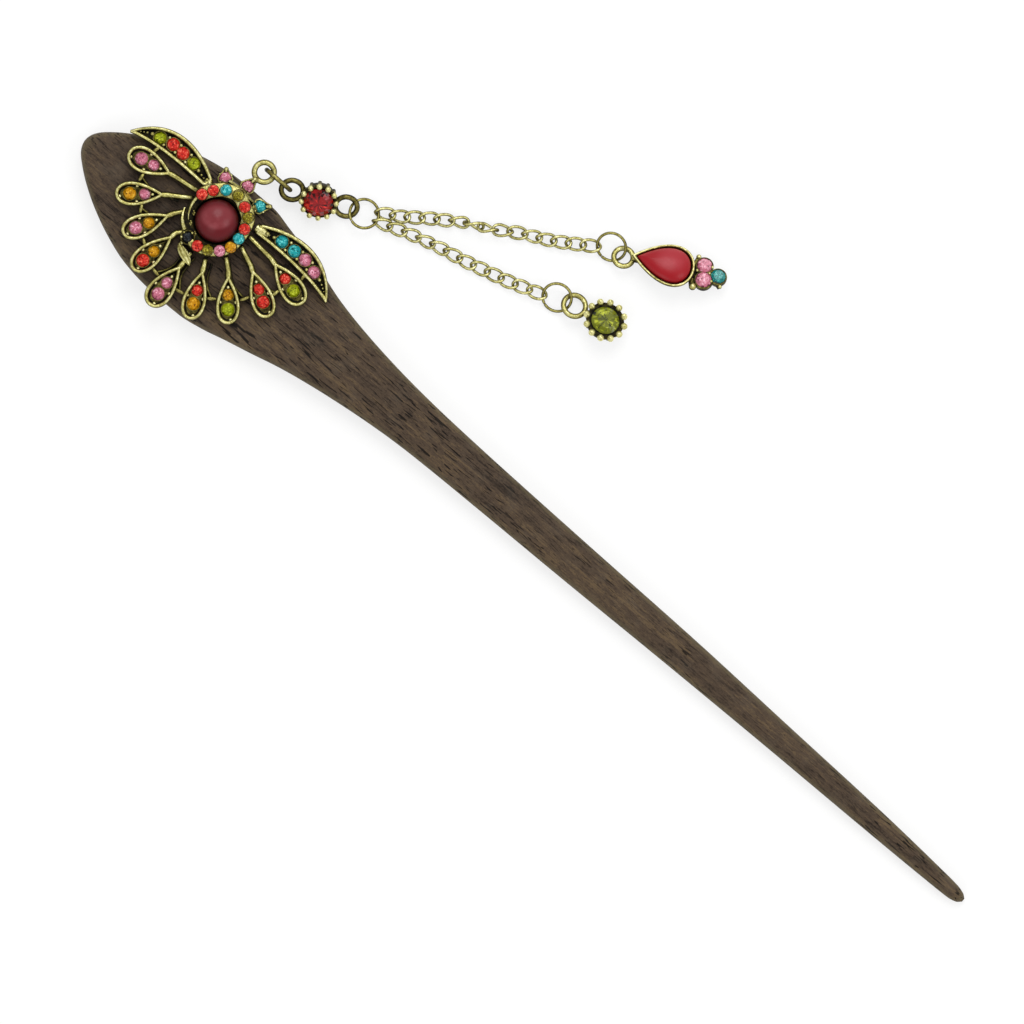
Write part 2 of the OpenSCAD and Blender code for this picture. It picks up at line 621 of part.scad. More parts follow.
// The dome over the drop, as rings that draw in as they rise
module drop_cabochon() {
    l = drop_l - 2 * drop_wall - 2 * gap - 0.5;
    w = drop_w - 2 * drop_wall - 2 * gap;
    z = drop_seat_z + gap;
    rings = concat(
        [[for (p = drop_outline(l, w, 24)) [p[0], p[1], z]]],
        [for (k = [0:4]) let (a = 18 * k) [for (p = drop_outline(l, w, 24))
            [0.6 * l + (p[0] - 0.6 * l) * cos(a), p[1] * cos(a), z + 1.2 + 1.2 * sin(a)]]]);
    color(CRIMSON) in_drop() translate([drop_loop_r + drop_wall + gap + 0.45, 0, 0]) tube(rings);
}
module drop_stones() in_drop() for (s = DROP_STONES) color(s[3])
    translate([s[0], s[1], drop_seat_z + gap + stone_d]) cut_stone(drop_stone_r * s[2], 0.55, stone_d);

stick();
peacock_setting();
cabochon();
eye_stone();
body_stones();
for (i = [1:FEATHER_STONES]) feather_stone(i - 1);
for (i = [1:WING_STONES]) wing_stone(i - 1);
for (i = [1:CROWN_STONES]) crown_stone(i - 1);
crown_ring();
connector_setting();
connector_stone();
jump_ring(FORK_RING_AT, FORK_RING_TURN);  // fork_ring
long_chain();
short_chain();
jump_ring(DROP_RING_AT, DROP_RING_TURN);  // drop_ring
drop_setting();
drop_cabochon();
drop_stones();
jump_ring(ROUND_RING_AT, ROUND_RING_TURN);  // round_ring
round_setting();
round_stone();
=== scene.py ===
"""Looks of a flat wooden hair stick with a gem-set peacock fan, a hanging chain and two small drops.

Sizes and places are in millimetres, as in the part's source; finishing a piece turns its mesh into metres.
"""

import json
import logging
import math
import random
from collections.abc import Callable, Iterator, Sequence
from contextlib import contextmanager
from dataclasses import dataclass
from enum import Enum
from typing import Any

import bmesh
import bpy
from mathutils import Matrix, Vector

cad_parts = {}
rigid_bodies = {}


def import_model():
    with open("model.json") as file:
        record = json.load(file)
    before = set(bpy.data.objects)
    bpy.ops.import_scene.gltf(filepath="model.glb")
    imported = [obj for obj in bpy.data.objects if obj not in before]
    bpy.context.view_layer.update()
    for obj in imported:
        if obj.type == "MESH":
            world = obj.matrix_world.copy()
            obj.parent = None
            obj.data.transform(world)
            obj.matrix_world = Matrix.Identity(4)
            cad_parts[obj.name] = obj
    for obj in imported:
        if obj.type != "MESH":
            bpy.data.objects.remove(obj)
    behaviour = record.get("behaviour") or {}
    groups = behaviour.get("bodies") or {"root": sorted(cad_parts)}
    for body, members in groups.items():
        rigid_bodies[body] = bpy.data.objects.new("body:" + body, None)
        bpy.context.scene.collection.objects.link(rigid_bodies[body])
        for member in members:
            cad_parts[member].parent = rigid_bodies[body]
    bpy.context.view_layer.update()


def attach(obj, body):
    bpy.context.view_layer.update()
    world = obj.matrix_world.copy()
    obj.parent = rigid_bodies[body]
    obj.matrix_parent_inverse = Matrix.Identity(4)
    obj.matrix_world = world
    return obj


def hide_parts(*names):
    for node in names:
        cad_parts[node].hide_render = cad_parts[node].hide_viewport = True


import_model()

log = logging.getLogger("hair_stick")

Piece = bpy.types.Object
Look = bpy.types.Material
Flat = tuple[float, float]
Row = tuple[float, float, float]
Wide = tuple[float, float, float, float]
Station = tuple[Vector, float, float] | tuple[Vector, float, float, float]

MM = 0.001
# heights over the surface: the casting's back, stone seats, tray floors, tray rims and the body ring's top
CAST_Z = 4.05
SEAT_Z = 4.30
FLOOR_Z = 4.85
RIM_Z = 5.75
BODY_Z = 6.5
# height of a stone's girdle over its seat
STONE_RISE = 0.6
BODY_CENTRE = Vector((-1.3, 3.85, 0.0))
BODY_W = 10.2
BODY_L = 11.9
FAN_R = 9.0
CABOCHON_R = 3.36
COLLAR_GAP = 0.08
COLLAR_WIRE = 0.10
# a drop's outline has this width for each unit of sin t sin t/2
DROP_WIDEST = 0.7698
# angles in degrees past which an edge stays sharp
METAL_ANGLE = 60.0
PLAIN_ANGLE = 50.0


# Plane geometry


def flat(x: float, y: float) -> Vector:
    """A vector of the plane."""
    return Vector((x, y, 0))


def upright(z: float) -> Vector:
    """An upright vector."""
    return Vector((0, 0, z))


def toward(angle: float) -> Vector:
    """The unit vector of the plane at an angle in degrees."""
    turn = math.radians(angle)
    return Vector((math.cos(turn), math.sin(turn), 0.0))


def polar(angle: float, reach: float) -> Vector:
    """A point of the plane at an angle in degrees and a reach from the body's centre."""
    return BODY_CENTRE + reach * toward(angle)


def body_reach(angle: float) -> float:
    """Reach of the body ring's edge from its centre, at an angle in degrees."""
    turn = math.radians(angle)
    return BODY_W * BODY_L / 4 / math.hypot(BODY_L / 2 * math.cos(turn), BODY_W / 2 * math.sin(turn))


def clamp(value: float) -> float:
    """The value, held between 0 and 1."""
    return min(max(value, 0.0), 1.0)


def ease(share: float) -> float:
    """A share from 0 to 1, with a smooth start and end."""
    return share * share * (3 - 2 * share)


def bezier(a: Flat, b: Flat, c: Flat, d: Flat, t: float) -> Vector:
    """A point of a cubic curve in the plane.

    Args:
        a: its start.
        b: the handle that it leaves its start towards.
        c: the handle that it reaches its end from.
        d: its end.
        t: share of the way.

    Returns:
        The point.
    """
    u = 1.0 - t
    weights = (u**3, 3 * t * u * u, 3 * t * t * u, t**3)
    return sum((w * flat(p[0], p[1]) for w, p in zip(weights, (a, b, c, d))), Vector())


def turns(count: int) -> list[float]:
    """Angles in radians, evenly round a full turn."""
    return [math.tau * k / count for k in range(count)]


def circle(radius: float, count: int = 32, squash: float = 1.0) -> list[Vector]:
    """Points of a circle round the origin, or of an ellipse if squash isn't 1."""
    return [Vector((radius * math.cos(a), squash * radius * math.sin(a), 0)) for a in turns(count)]


def drop_outline(long: float, wide: float, count: int = 56) -> list[Vector]:
    """Outline of a drop with its point at the origin and its round end along +X.

    Args:
        long: length of the drop.
        wide: its greatest width.
        count: number of points.

    Returns:
        The points, once round, anticlockwise.
    """
    half = wide / 2 / DROP_WIDEST
    return [
        Vector((long * (1 - math.cos(t)) / 2, -half * math.sin(t) * math.sin(t / 2), 0)) for t in turns(count)
    ]


def inner_drop(long: float, wide: float, inset: float, point: float = 1.9) -> list[Vector]:
    """Outline of a drop drawn in by an inset.

    Args:
        long: length of the whole drop.
        wide: width of the whole drop.
        inset: how far its sides and its round end are drawn in.
        point: how far its point is drawn in, in insets.

    Returns:
        The points.
    """
    at_point = point * inset
    shorter = drop_outline(long - at_point - inset, wide - 2 * inset)
    return [p + flat(at_point, 0) for p in shorter]


# The bench: modelling by operators


@dataclass(frozen=True)
class Ring:
    """One closed loop of a loft, and how bright the metal there is (0 dark, 1 bright): partly black patina
    and rubbed high places, partly painted shade and painted highlight.
    """

    points: Sequence[Vector]
    bright: float = 1.0


def level(outline: Sequence[Vector], z: float, bright: float = 1.0) -> Ring:
    """A flat loop at height z."""
    return Ring([Vector((p.x, p.y, z)) for p in outline], bright)


def deselect() -> None:
    """Leaves edit mode and leaves nothing selected."""
    if bpy.context.active_object and bpy.context.active_object.mode != "OBJECT":
        bpy.ops.object.mode_set(mode="OBJECT")
    bpy.ops.object.select_all(action="DESELECT")


def pick(*objects: Piece) -> None:
    """Selects some objects alone.

    Args:
        objects: the objects; the first one becomes the active one.
    """
    deselect()
    for one in objects:
        one.select_set(True)
    bpy.context.view_layer.objects.active = objects[0]


@contextmanager
def editing(piece: Piece) -> Iterator[None]:
    """Holds a piece in edit mode, in vertex selection.

    Args:
        piece: the piece to edit.

    Yields:
        Nothing, while the piece is in edit mode.
    """
    pick(piece)
    bpy.ops.object.mode_set(mode="EDIT")
    bpy.ops.mesh.select_mode(type="VERT")
    try:
        yield
    finally:
        bpy.ops.object.mode_set(mode="OBJECT")


def twin(piece: Piece) -> Piece:
    """A copy of a piece with its own mesh.

    Args:
        piece: the piece to copy.

    Returns:
        The copy, linked to the scene.
    """
    made = piece.copy()
    made.data = piece.data.copy()
    bpy.context.collection.objects.link(made)
    return made


def loft(name: str, rings: Sequence[Ring]) -> Piece:
    """Models a closed solid: a filled circle is shaped into the first ring and extruded through the others.

    Args:
        name: name of the piece.
        rings: loops with as many points each.

    Returns:
        The piece, with a point attribute "bright".
    """
    count = len(rings[0].points)
    deselect()
    bpy.ops.mesh.primitive_circle_add(vertices=count, radius=1.0, fill_type="NGON", location=(0, 0, 0))
    piece = bpy.context.active_object
    piece.name = name
    piece.data.attributes.new("order", "INT", "POINT").data.foreach_set("value", list(range(count)))
    piece.data.attributes.new("bright", "FLOAT", "POINT")

    def settle(ring: Ring) -> None:
        """Moves the selected loop to a ring's points.

        Args:
            ring: the ring.
        """
        shape = bmesh.from_edit_mesh(piece.data)
        order = shape.verts.layers.int["order"]
        bright = shape.verts.layers.float["bright"]
        for vert in shape.verts:
            if vert.select:
                vert.co = ring.points[vert[order]]
                vert[bright] = ring.bright
        bmesh.update_edit_mesh(piece.data)

    with editing(piece):
        bpy.ops.mesh.select_all(action="SELECT")
        settle(rings[0])
        for ring in rings[1:]:
            bpy.ops.mesh.extrude_region_move(TRANSFORM_OT_translate={"value": (0, 0, 0)})
            settle(ring)
        close()
    return piece


def close(reach: float = 0.0005) -> None:
    """Merges doubles and turns all faces outwards, in edit mode.

    Args:
        reach: distance within which points are merged.
    """
    bpy.ops.mesh.select_all(action="SELECT")
    bpy.ops.mesh.remove_doubles(threshold=reach)
    bpy.ops.mesh.normals_make_consistent(inside=False)


def lathe(name: str, profile: Sequence[Row], count: int, at: Vector | None = None) -> Piece:
    """Models a round solid.

    Args:
        name: name of the piece.
        profile: rows of radius, height and brightness, from the bottom round to the last loop.
        count: number of sides.
        at: its middle in the plane, or None for the origin.

    Returns:
        The piece.
    """
    centre = at or flat(0, 0)
    rings = [level([centre + p for p in circle(radius, count)], z, bright) for radius, z, bright in profile]
    return loft(name, rings)


def hoop(
    name: str, line: Callable[[float], Vector], wire: float, around: int = 48, sides: int = 12
) -> Piece:
    """Models a closed hoop of wire: a torus whose middle line is carried to another line.

    Args:
        name: name of the piece.
        line: the middle line, from an angle between 0 and a full turn.
        wire: radius of the wire.
        around: steps along the line.
        sides: sides of the wire.

    Returns:
        The piece.
    """
    section, nudge = 0.25, 0.1
    deselect()
    bpy.ops.mesh.primitive_torus_add(
        location=(0, 0, 0), major_segments=around, minor_segments=sides, major_radius=1, minor_radius=section
    )
    piece = bpy.context.active_object
    piece.name = name
    middle = sum((line(a) for a in turns(around)), Vector()) / around
    frames: list[tuple[Vector, Vector, Vector]] = []
    for k in range(around):
        here = line(math.tau * k / around)
        ahead, behind = line(math.tau * (k + nudge) / around), line(math.tau * (k - nudge) / around)
        way = (ahead - behind).normalized()
        out = here - middle
        out = (out - way * out.dot(way)).normalized()
        frames.append((here, out, out.cross(way)))
    for vert in piece.data.vertices:
        angle = math.atan2(vert.co.y, vert.co.x) % math.tau
        here, out, up = frames[round(angle / math.tau * around) % around]
        rho = (math.hypot(vert.co.x, vert.co.y) - 1.0) / section
        vert.co = here + wire * (rho * out + vert.co.z / section * up)
    piece.data.attributes.new("bright", "FLOAT", "POINT")
    return piece


def round_hoop(name: str, radius: float, wire: float, around: int = 48, sides: int = 12) -> Piece:
    """A flat round hoop round the origin."""
    return hoop(name, lambda t: radius * Vector((math.cos(t), math.sin(t), 0)), wire, around, sides)


def bead(at: Vector, radius: float, bright: float = 1.0) -> Piece:
    """Models a metal bead on a short foot: a ball whose lower half is drawn down into the metal.

    Args:
        at: its place; z is the height of the ball's middle.
        radius: radius of the ball.
        bright: how bright its top is: a painted highlight over rubbed metal, fading to painted shade on the
            lower half.

    Returns:
        The bead.
    """
    flatten, draw_down, foot_shine = 0.9, 1.3, 0.12
    deselect()
    bpy.ops.mesh.primitive_uv_sphere_add(segments=12, ring_count=8, radius=radius, location=(0, 0, 0))
    piece = bpy.context.active_object
    shine = piece.data.attributes.new("bright", "FLOAT", "POINT")
    values = []
    for vert in piece.data.vertices:
        share = vert.co.z / radius
        # painted light: lighter towards the top of the ball, painted shade on its lower half and foot
        values.append(bright * (0.55 + 0.45 * share) if share > 0 else foot_shine)
        vert.co.z = vert.co.z * (flatten if share > 0 else draw_down)
        vert.co += at
    shine.data.foreach_set("value", values)
    return piece


def join(name: str, pieces: Sequence[Piece]) -> Piece:
    """Joins pieces into one mesh.

    Args:
        name: name of the joined piece.
        pieces: the pieces; the others go into the first one.

    Returns:
        The joined piece.
    """
    pick(*pieces)
    if len(pieces) > 1:
        bpy.ops.object.join()
    pieces[0].name = name
    return pieces[0]


def carry(piece: Piece, matrix: Matrix) -> None:
    """Places a piece in its mesh, and keeps its faces outwards.

    Args:
        piece: the piece.
        matrix: its place; a mirroring one is allowed.
    """
    piece.data.transform(matrix)
    if matrix.determinant() < 0:
        piece.data.flip_normals()


def shade_by_facing(piece: Piece, low: float, high: float) -> None:
    """Sets "bright" from the way that the surface faces: painted shade underneath and a painted highlight on
    top.

    Args:
        piece: the piece.
        low: brightness of the painted shade underneath.
        high: brightness of the painted highlight on top.
    """
    normals = [n.vector.z for n in piece.data.vertex_normals]
    values = [low + (high - low) * (0.5 + 0.5 * z) ** 3 for z in normals]
    piece.data.attributes["bright"].data.foreach_set("value", values)


def collar(at: Vector, radius: float, wire: float, high: float, low: float = 0.05) -> Piece:
    """The thin ring of metal round a small stone."""
    return eyelet(radius, wire, Matrix.Translation(at), low, high, 24, 6)


def eyelet(
    radius: float, wire: float, place: Matrix, low: float, high: float, around: int = 48, sides: int = 14
) -> Piece:
    """Models a round loop of wire, such as the stout one of a pendant or of the connector.

    Args:
        radius: radius of its middle line.
        wire: radius of its section.
        place: its place.
        low: brightness of the painted shade underneath.
        high: brightness of the painted highlight on top.
        around: steps along the loop.
        sides: sides of the wire.

    Returns:
        The loop.
    """
    piece = round_hoop("loop", radius, wire, around, sides)
    carry(piece, place)
    shade_by_facing(piece, low, high)
    return piece


def heart(
    piece: Piece, centre: Vector, near: float, far: float, heading: float = 0.0, stretch: float = 1.0
) -> None:
    """Sets "glow", a painted highlight, on a dome: 1 in its heart, 0 outside.

    Args:
        piece: the dome.
        centre: middle of its heart, in the plane.
        near: half width within which the glow is full.
        far: half width beyond which there is none.
        heading: way, in degrees, along which the heart is drawn out.
        stretch: its length as a share of its width.
    """
    long = toward(heading).xy
    values = []
    for vert in piece.data.vertices:
        away = vert.co.xy - centre.xy
        reach = math.hypot(away.dot(long) / stretch, away.cross(long))
        values.append(ease(clamp((far - reach) / (far - near))))
    piece.data.attributes.new("glow", "FLOAT", "POINT").data.foreach_set("value", values)


def smooth(piece: Piece, angle: float) -> None:
    """Smooth shading, but for edges sharper than an angle in degrees."""
    pick(piece)
    bpy.ops.object.shade_smooth_by_angle(angle=math.radians(angle))


def hand_in(piece: Piece, name: str, look: Look, slot: str, node: str) -> Piece:
    """Finishes a piece: metres, material, body and the node that it stands for.

    Args:
        piece: the shaped piece, in millimetres.
        name: its name.
        look: its material.
        slot: the record's material slot; not used.
        node: the CAD node that it replaces, alone or with other pieces.

    Returns:
        The finished piece.
    """
    piece.name = name
    piece.data.name = name
    piece.data.transform(Matrix.Scale(MM, 4))
    if "order" in piece.data.attributes:
        piece.data.attributes.remove(piece.data.attributes["order"])
    piece.data.materials.clear()
    piece.data.materials.append(look)
    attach(piece, "root")
    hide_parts(node)
    return piece


def turned(roll: float, pitch: float, heading: float) -> Matrix:
    """A turn about X, then Y, then Z, in degrees."""
    x, y, z = (math.radians(a) for a in (roll, pitch, heading))
    return Matrix.Rotation(z, 4, "Z") @ Matrix.Rotation(y, 4, "Y") @ Matrix.Rotation(x, 4, "X")


# Shader maths


class Wire:
    """A socket that takes part in Python expressions; each operation adds a Math node."""

    def __init__(self, paint: "Paint", socket: bpy.types.NodeSocket) -> None:
        """Wraps a socket of a paint's node tree."""
        self.paint = paint
        self.socket = socket

    def math(self, operation: str, *others: "Wire | float", first: bool = True) -> "Wire":
        """A Math node on this socket and others; first is False where this socket comes second."""
        values = (self, *others) if first else (*others, self)
        return self.paint.node("ShaderNodeMath", {"operation": operation}, dict(enumerate(values)))

    def __add__(self, other: "Wire | float") -> "Wire":
        """Sum."""
        return self.math("ADD", other)

    __radd__ = __add__

    def __sub__(self, other: "Wire | float") -> "Wire":
        """Difference."""
        return self.math("SUBTRACT", other)

    def __rsub__(self, other: "Wire | float") -> "Wire":
        """Difference from a number."""
        return self.math("SUBTRACT", other, first=False)

    def __mul__(self, other: "Wire | float") -> "Wire":
        """Product."""
        return self.math("MULTIPLY", other)

    __rmul__ = __mul__

    def between(self, low: float, high: float) -> "Wire":
        """0 below low, 1 above high and a smooth step between."""
        return self.paint.node(
            "ShaderNodeMapRange",
            {"interpolation_type": "SMOOTHSTEP"},
            {"Value": self, "From Min": low, "From Max": high},
        )


def linear(colour: str) -> Wide:
    """Scene-linear colour of a hex colour.

    Args:
        colour: six hex digits, such as 54463a.

    Returns:
        Red, green, blue and alpha.
    """
    parts = [int(colour[i : i + 2], 16) / 255 for i in (0, 2, 4)]
    red, green, blue = (p / 12.92 if p <= 0.04045 else ((p + 0.055) / 1.055) ** 2.4 for p in parts)
    return (red, green, blue, 1.0)


@dataclass(frozen=True)
class Grain:
    """A noise: its scale and detail, and how far its place is stretched along each axis."""

    scale: float
    detail: float = 3.0
    rough: float = 0.55
    warp: float = 0.0
    stretch: Row = (1.0, 1.0, 1.0)


class Paint:
    """One material under construction."""

    def __init__(self, name: str) -> None:
        """Starts a material with only a Principled shader.

        Args:
            name: the material's name.
        """
        self.material = bpy.data.materials.new(name)
        self.material.use_nodes = True
        self.tree = self.material.node_tree
        self.tree.nodes.clear()
        self.shader = self.tree.nodes.new("ShaderNodeBsdfPrincipled")
        output = self.tree.nodes.new("ShaderNodeOutputMaterial")
        self.tree.links.new(self.shader.outputs[0], output.inputs[0])

    def node(
        self,
        kind: str,
        settings: dict[str, Any] | None = None,
        sockets: dict[Any, Any] | None = None,
        out: Any = 0,
    ) -> Wire:
        """Adds a node.

        Args:
            kind: the node's type.
            settings: its settings, set first; "stops" are a ramp's (place, colour) pairs.
            sockets: values or wires by socket name or number.
            out: the output that is returned.

        Returns:
            The output, wrapped.
        """
        made = self.tree.nodes.new(kind)
        for key, value in (settings or {}).items():
            if key == "stops":
                while len(made.color_ramp.elements) < len(value):
                    made.color_ramp.elements.new(0.5)
                for element, (place, colour) in zip(made.color_ramp.elements, value):
                    element.position = place
                    element.color = colour
            else:
                setattr(made, key, value)
        for key, value in (sockets or {}).items():
            if isinstance(value, Wire):
                self.tree.links.new(value.socket, made.inputs[key])
            else:
                made.inputs[key].default_value = value
        return Wire(self, made.outputs[out])

    def place(self, stretch: Row = (1.0, 1.0, 1.0)) -> Wire:
        """Object coordinates in metres, stretched by shares along each axis."""
        spot = self.node("ShaderNodeTexCoord", out="Object")
        return self.node("ShaderNodeMapping", {}, {"Vector": spot, "Scale": stretch})

    def noise(self, grain: Grain, spot: Wire | None = None) -> Wire:
        """Noise from about 0 to 1.

        Args:
            grain: its scale and detail.
            spot: the place that it is read at, or None for the object's own coordinates, stretched.

        Returns:
            The noise.
        """
        sockets = {
            "Vector": spot or self.place(grain.stretch),
            "Scale": grain.scale,
            "Detail": grain.detail,
            "Roughness": grain.rough,
            "Distortion": grain.warp,
        }
        return self.node("ShaderNodeTexNoise", {}, sockets)

    def attribute(self, name: str, out: str = "Fac") -> Wire:
        """A mesh attribute."""
        return self.node("ShaderNodeAttribute", {"attribute_name": name}, out=out)

    def mix(self, share: "Wire | float", low: Any, high: Any) -> Wire:
        """A colour between low and high."""
        return self.node("ShaderNodeMix", {"data_type": "RGBA"}, {0: share, 6: low, 7: high}, out=2)

    def ramp(self, share: Wire, *stops: tuple[float, str]) -> Wire:
        """Colours along a share, from (place, hex colour) pairs."""
        return self.node("ShaderNodeValToRGB", {"stops": [(p, linear(c)) for p, c in stops]}, {"Fac": share})

    def bump(self, height: Wire, strength: float, depth: float) -> Wire:
        """A bumped normal, with the depth in metres."""
        return self.node("ShaderNodeBump", {}, {"Height": height, "Strength": strength, "Distance": depth})

    def set(self, **sockets: Any) -> None:
        """Sets the shader's sockets.

        Args:
            sockets: values or wires, each by its socket's name in small letters, with _ between words.
        """
        for key, value in sockets.items():
            name = key.replace("_", " ").title().replace("Ior", "IOR")
            if isinstance(value, Wire):
                self.tree.links.new(value.socket, self.shader.inputs[name])
            else:
                self.shader.inputs[name].default_value = value


# Finishes


@dataclass(frozen=True)
class Wenge:
    """Dark open-grained wood with short pores along the stick and a dull oiled surface."""

    dark: str = "241b14"
    body: str = "4c3e31"
    light: str = "64523b"
    pore: str = "0d0805"
    edge_sheen: str = "6a6044"
    dust: str = "6e6456"
    bands: Grain = Grain(330.0, 4.0, 0.6, 0.8, (0.06, 1.0, 0.6))
    mottles: Grain = Grain(1100.0, 4.0, 0.65, 0.0, (0.30, 1.0, 1.0))
    streaks: Grain = Grain(1500.0, 3.0, 0.6, 0.3, (0.05, 1.0, 0.6))
    fibres: Grain = Grain(5200.0, 2.0, 0.6, 0.0, (0.06, 1.0, 1.0))
    pores: Grain = Grain(3900.0, 0.0, 0.5, 0.6, (0.10, 1.0, 0.8))
    ticks: Grain = Grain(6200.0, 0.0, 0.5, 0.4, (0.16, 1.0, 0.8))
    fine: Grain = Grain(5600.0, 2.0, 0.7, 0.0, (0.5, 1.0, 1.0))
    clusters: Grain = Grain(120.0, 2.0, 0.55, 0.0, (0.5, 1.0, 1.0))
    rubbing: Grain = Grain(300.0)
    relief: float = 0.00012

    def make(self) -> Look:
        """Makes the material.

        Returns:
            The material.
        """
        paint = Paint("wenge")
        bands, mottles = paint.noise(self.bands), paint.noise(self.mottles)
        streaks, fibres = paint.noise(self.streaks), paint.noise(self.fibres)
        pores, ticks = paint.noise(self.pores), paint.noise(self.ticks)
        fine, clusters = paint.noise(self.fine), paint.noise(self.clusters)
        tone = 0.20 * bands + 0.22 * mottles + 0.22 * streaks + 0.18 * fibres + 0.18 * fine
        stops = ((0.0, self.dark), (0.42, self.body), (0.62, self.body), (1.0, self.light))
        wood = paint.ramp(tone.between(0.39, 0.61), *stops)
        # a painted sheen on the rounded edges, from the bevel attribute
        wood = paint.mix(0.55 * paint.attribute("bevel"), wood, linear(self.edge_sheen))
        holes = pores.between(0.675, 0.712) * clusters.between(0.36, 0.52)
        wood = paint.mix(0.6 * ticks.between(0.66, 0.74), wood, linear(self.dark))
        wood = paint.mix(holes * 0.92, wood, linear(self.pore))
        rubbed = paint.noise(self.rubbing).between(0.48, 0.75)
        wood = paint.mix(rubbed * 0.15, wood, linear(self.dust))
        height = 0.6 * fibres + 0.7 * streaks - 1.6 * holes
        paint.set(
            base_color=wood,
            roughness=0.50 + 0.16 * fibres + 0.15 * holes - 0.06 * rubbed,
            specular_ior_level=0.18,
            normal=paint.bump(height, 0.6, self.relief),
        )
        return paint.material


@dataclass(frozen=True)
class AntiqueBrass:
    """Cast brass with black left in its hollows and its high places rubbed pale; its bright attribute also
    carries painted shade and painted highlights.
    """

    black: str = "050403"
    olive: str = "3a3419"
    brass: str = "857b40"
    pale: str = "c0b970"
    bright: str = "f3eeb0"
    cloud: Grain = Grain(750.0, 4.0, 0.6)
    grit: Grain = Grain(4200.0, 3.0, 0.6)
    flecks: Grain = Grain(2100.0, 3.0, 0.6)
    relief: float = 0.00008

    def make(self) -> Look:
        """Makes the material.

        Returns:
            The material.
        """
        paint = Paint("antique_brass")
        patina_and_painted_light = paint.attribute("bright")
        cloud, grit, flecks = paint.noise(self.cloud), paint.noise(self.grit), paint.noise(self.flecks)
        # the bright attribute mixes patina and rubbing with painted shade and painted highlights; the noises
        # add random mottling
        wear_and_painted_light = 0.90 * patina_and_painted_light + 0.62 * (cloud - 0.5) + 0.55 * (flecks - 0.5) + 0.24 * (grit - 0.5)
        stops = ((0.05, self.black), (0.32, self.olive), (0.58, self.brass))
        stops += ((0.82, self.pale), (1.0, self.bright))
        metal = wear_and_painted_light.between(0.05, 0.45)
        paint.set(
            base_color=paint.ramp(wear_and_painted_light, *stops),
            metallic=0.25 + 0.6 * metal,
            roughness=0.62 - 0.26 * metal + 0.12 * grit,
            specular_ior_level=0.15,
            normal=paint.bump(0.7 * grit + 0.8 * flecks + 0.6 * cloud, 0.45, self.relief),
        )
        return paint.material


@dataclass(frozen=True)
class Gem:
    """A foiled cut stone: each facet has its own painted shade of colour, over broken painted flashes of
    light.
    """

    name: str
    deep: str
    body: str
    flash: str
    flashes: float = 2.6
    veil: Grain = Grain(3.2)
    relief: float = 0.00003

    def make(self) -> Look:
        """Makes the material.

        Returns:
            The material.
        """
        paint = Paint(self.name)
        facet = paint.attribute("facet")
        inside = paint.attribute("inside", "Vector")
        sockets = {"Vector": inside, "Scale": self.flashes}
        broken = paint.node("ShaderNodeTexVoronoi", {}, sockets, out="Color")
        cells = paint.node("ShaderNodeSeparateColor", {}, {"Color": broken})
        veil = paint.noise(self.veil, inside)
        # painted light: each facet's random value is a painted reflection, the cells are painted flashes and
        # dark_edge is painted shade towards the girdle; the veil adds random tone
        dark_edge = paint.attribute("edge").between(0.74, 1.02)
        depth = 0.06 + 0.66 * facet + 0.36 * cells + 0.30 * (veil - 0.5) - 0.30 * dark_edge
        stops = ((0.10, self.deep), (0.40, self.body), (0.66, self.body), (0.98, self.flash))
        paint.set(
            base_color=paint.ramp(depth, *stops),
            roughness=0.10 + 0.08 * veil,
            specular_ior_level=0.35,
            coat_weight=0.12,
            coat_roughness=0.03,
            normal=paint.bump(veil, 0.08, self.relief),
        )
        return paint.material


@dataclass(frozen=True)
class Cabochon:
    """A smooth opaque glass dome: an even body with a painted highlight in its heart, faint clouds and a foot
    in painted shade.

    The foot's painted shade turns into the body's colour between the heights low and high, in millimetres.
    """

    name: str
    foot: str
    body: str
    milk: str
    low: float
    high: float
    clouds: Grain = Grain(420.0)
    scratches: Grain = Grain(6000.0, 2.0)
    relief: float = 0.00002

    def make(self) -> Look:
        """Makes the material.

        Returns:
            The material.
        """
        paint = Paint(self.name)
        spot = paint.place()
        height = paint.node("ShaderNodeSeparateXYZ", {}, {"Vector": spot}, out="Z")
        rise = height.between(self.low * MM, self.high * MM)
        cloud = paint.noise(self.clouds, spot).between(0.4, 0.75)
        # painted light: darker towards the foot as painted shade, and the glow attribute mixes in a painted
        # highlight
        colour = paint.mix(rise, linear(self.foot), linear(self.body))
        colour = paint.mix(paint.attribute("glow") * (0.55 + 0.45 * cloud), colour, linear(self.milk))
        paint.set(
            base_color=colour,
            roughness=0.30 + 0.08 * cloud,
            specular_ior_level=0.18,
            coat_weight=0.04,
            coat_roughness=0.15,
            normal=paint.bump(paint.noise(self.scratches, spot), 0.05, self.relief),
        )
        return paint.material


class StoneColour(Enum):
    """Colours of the small stones: slot in the record, and deep, body and flash colours; deep is painted
    shade and flash a painted glint.
    """

    RED = ("red_stone", "550808", "d02a20", "ff7c62")
    PINK = ("pink_stone", "6e2c40", "cb7288", "ffc4d6")
    AMBER = ("amber_stone", "5c3402", "c88a0e", "ffcc48")
    LIME = ("lime_stone", "3c4204", "8f9a10", "d0dc3c")
    AQUA = ("aqua_stone", "02403f", "1e9ea2", "82ece8")
    TEAL = ("aqua_stone", "052f2e", "0f807c", "5cc8be")
    OLIVE = ("olive_stone", "1c2006", "6a700e", "bcc434")
    MOSS = ("lime_stone", "221e02", "6e6410", "c6bc40")
    RUBY = ("ruby_stone", "300404", "9c0f14", "f03c32")
    JET = ("jet_stone", "040506", "12161a", "3a4148")

    @property
    def slot(self) -> str:
        """The record's material slot."""
        return self.value[0]

    def make(self) -> Look:
        """Makes the colour's gem material."""
        return Gem(f"{self.name.lower()}_gem", *self.value[1:]).make()


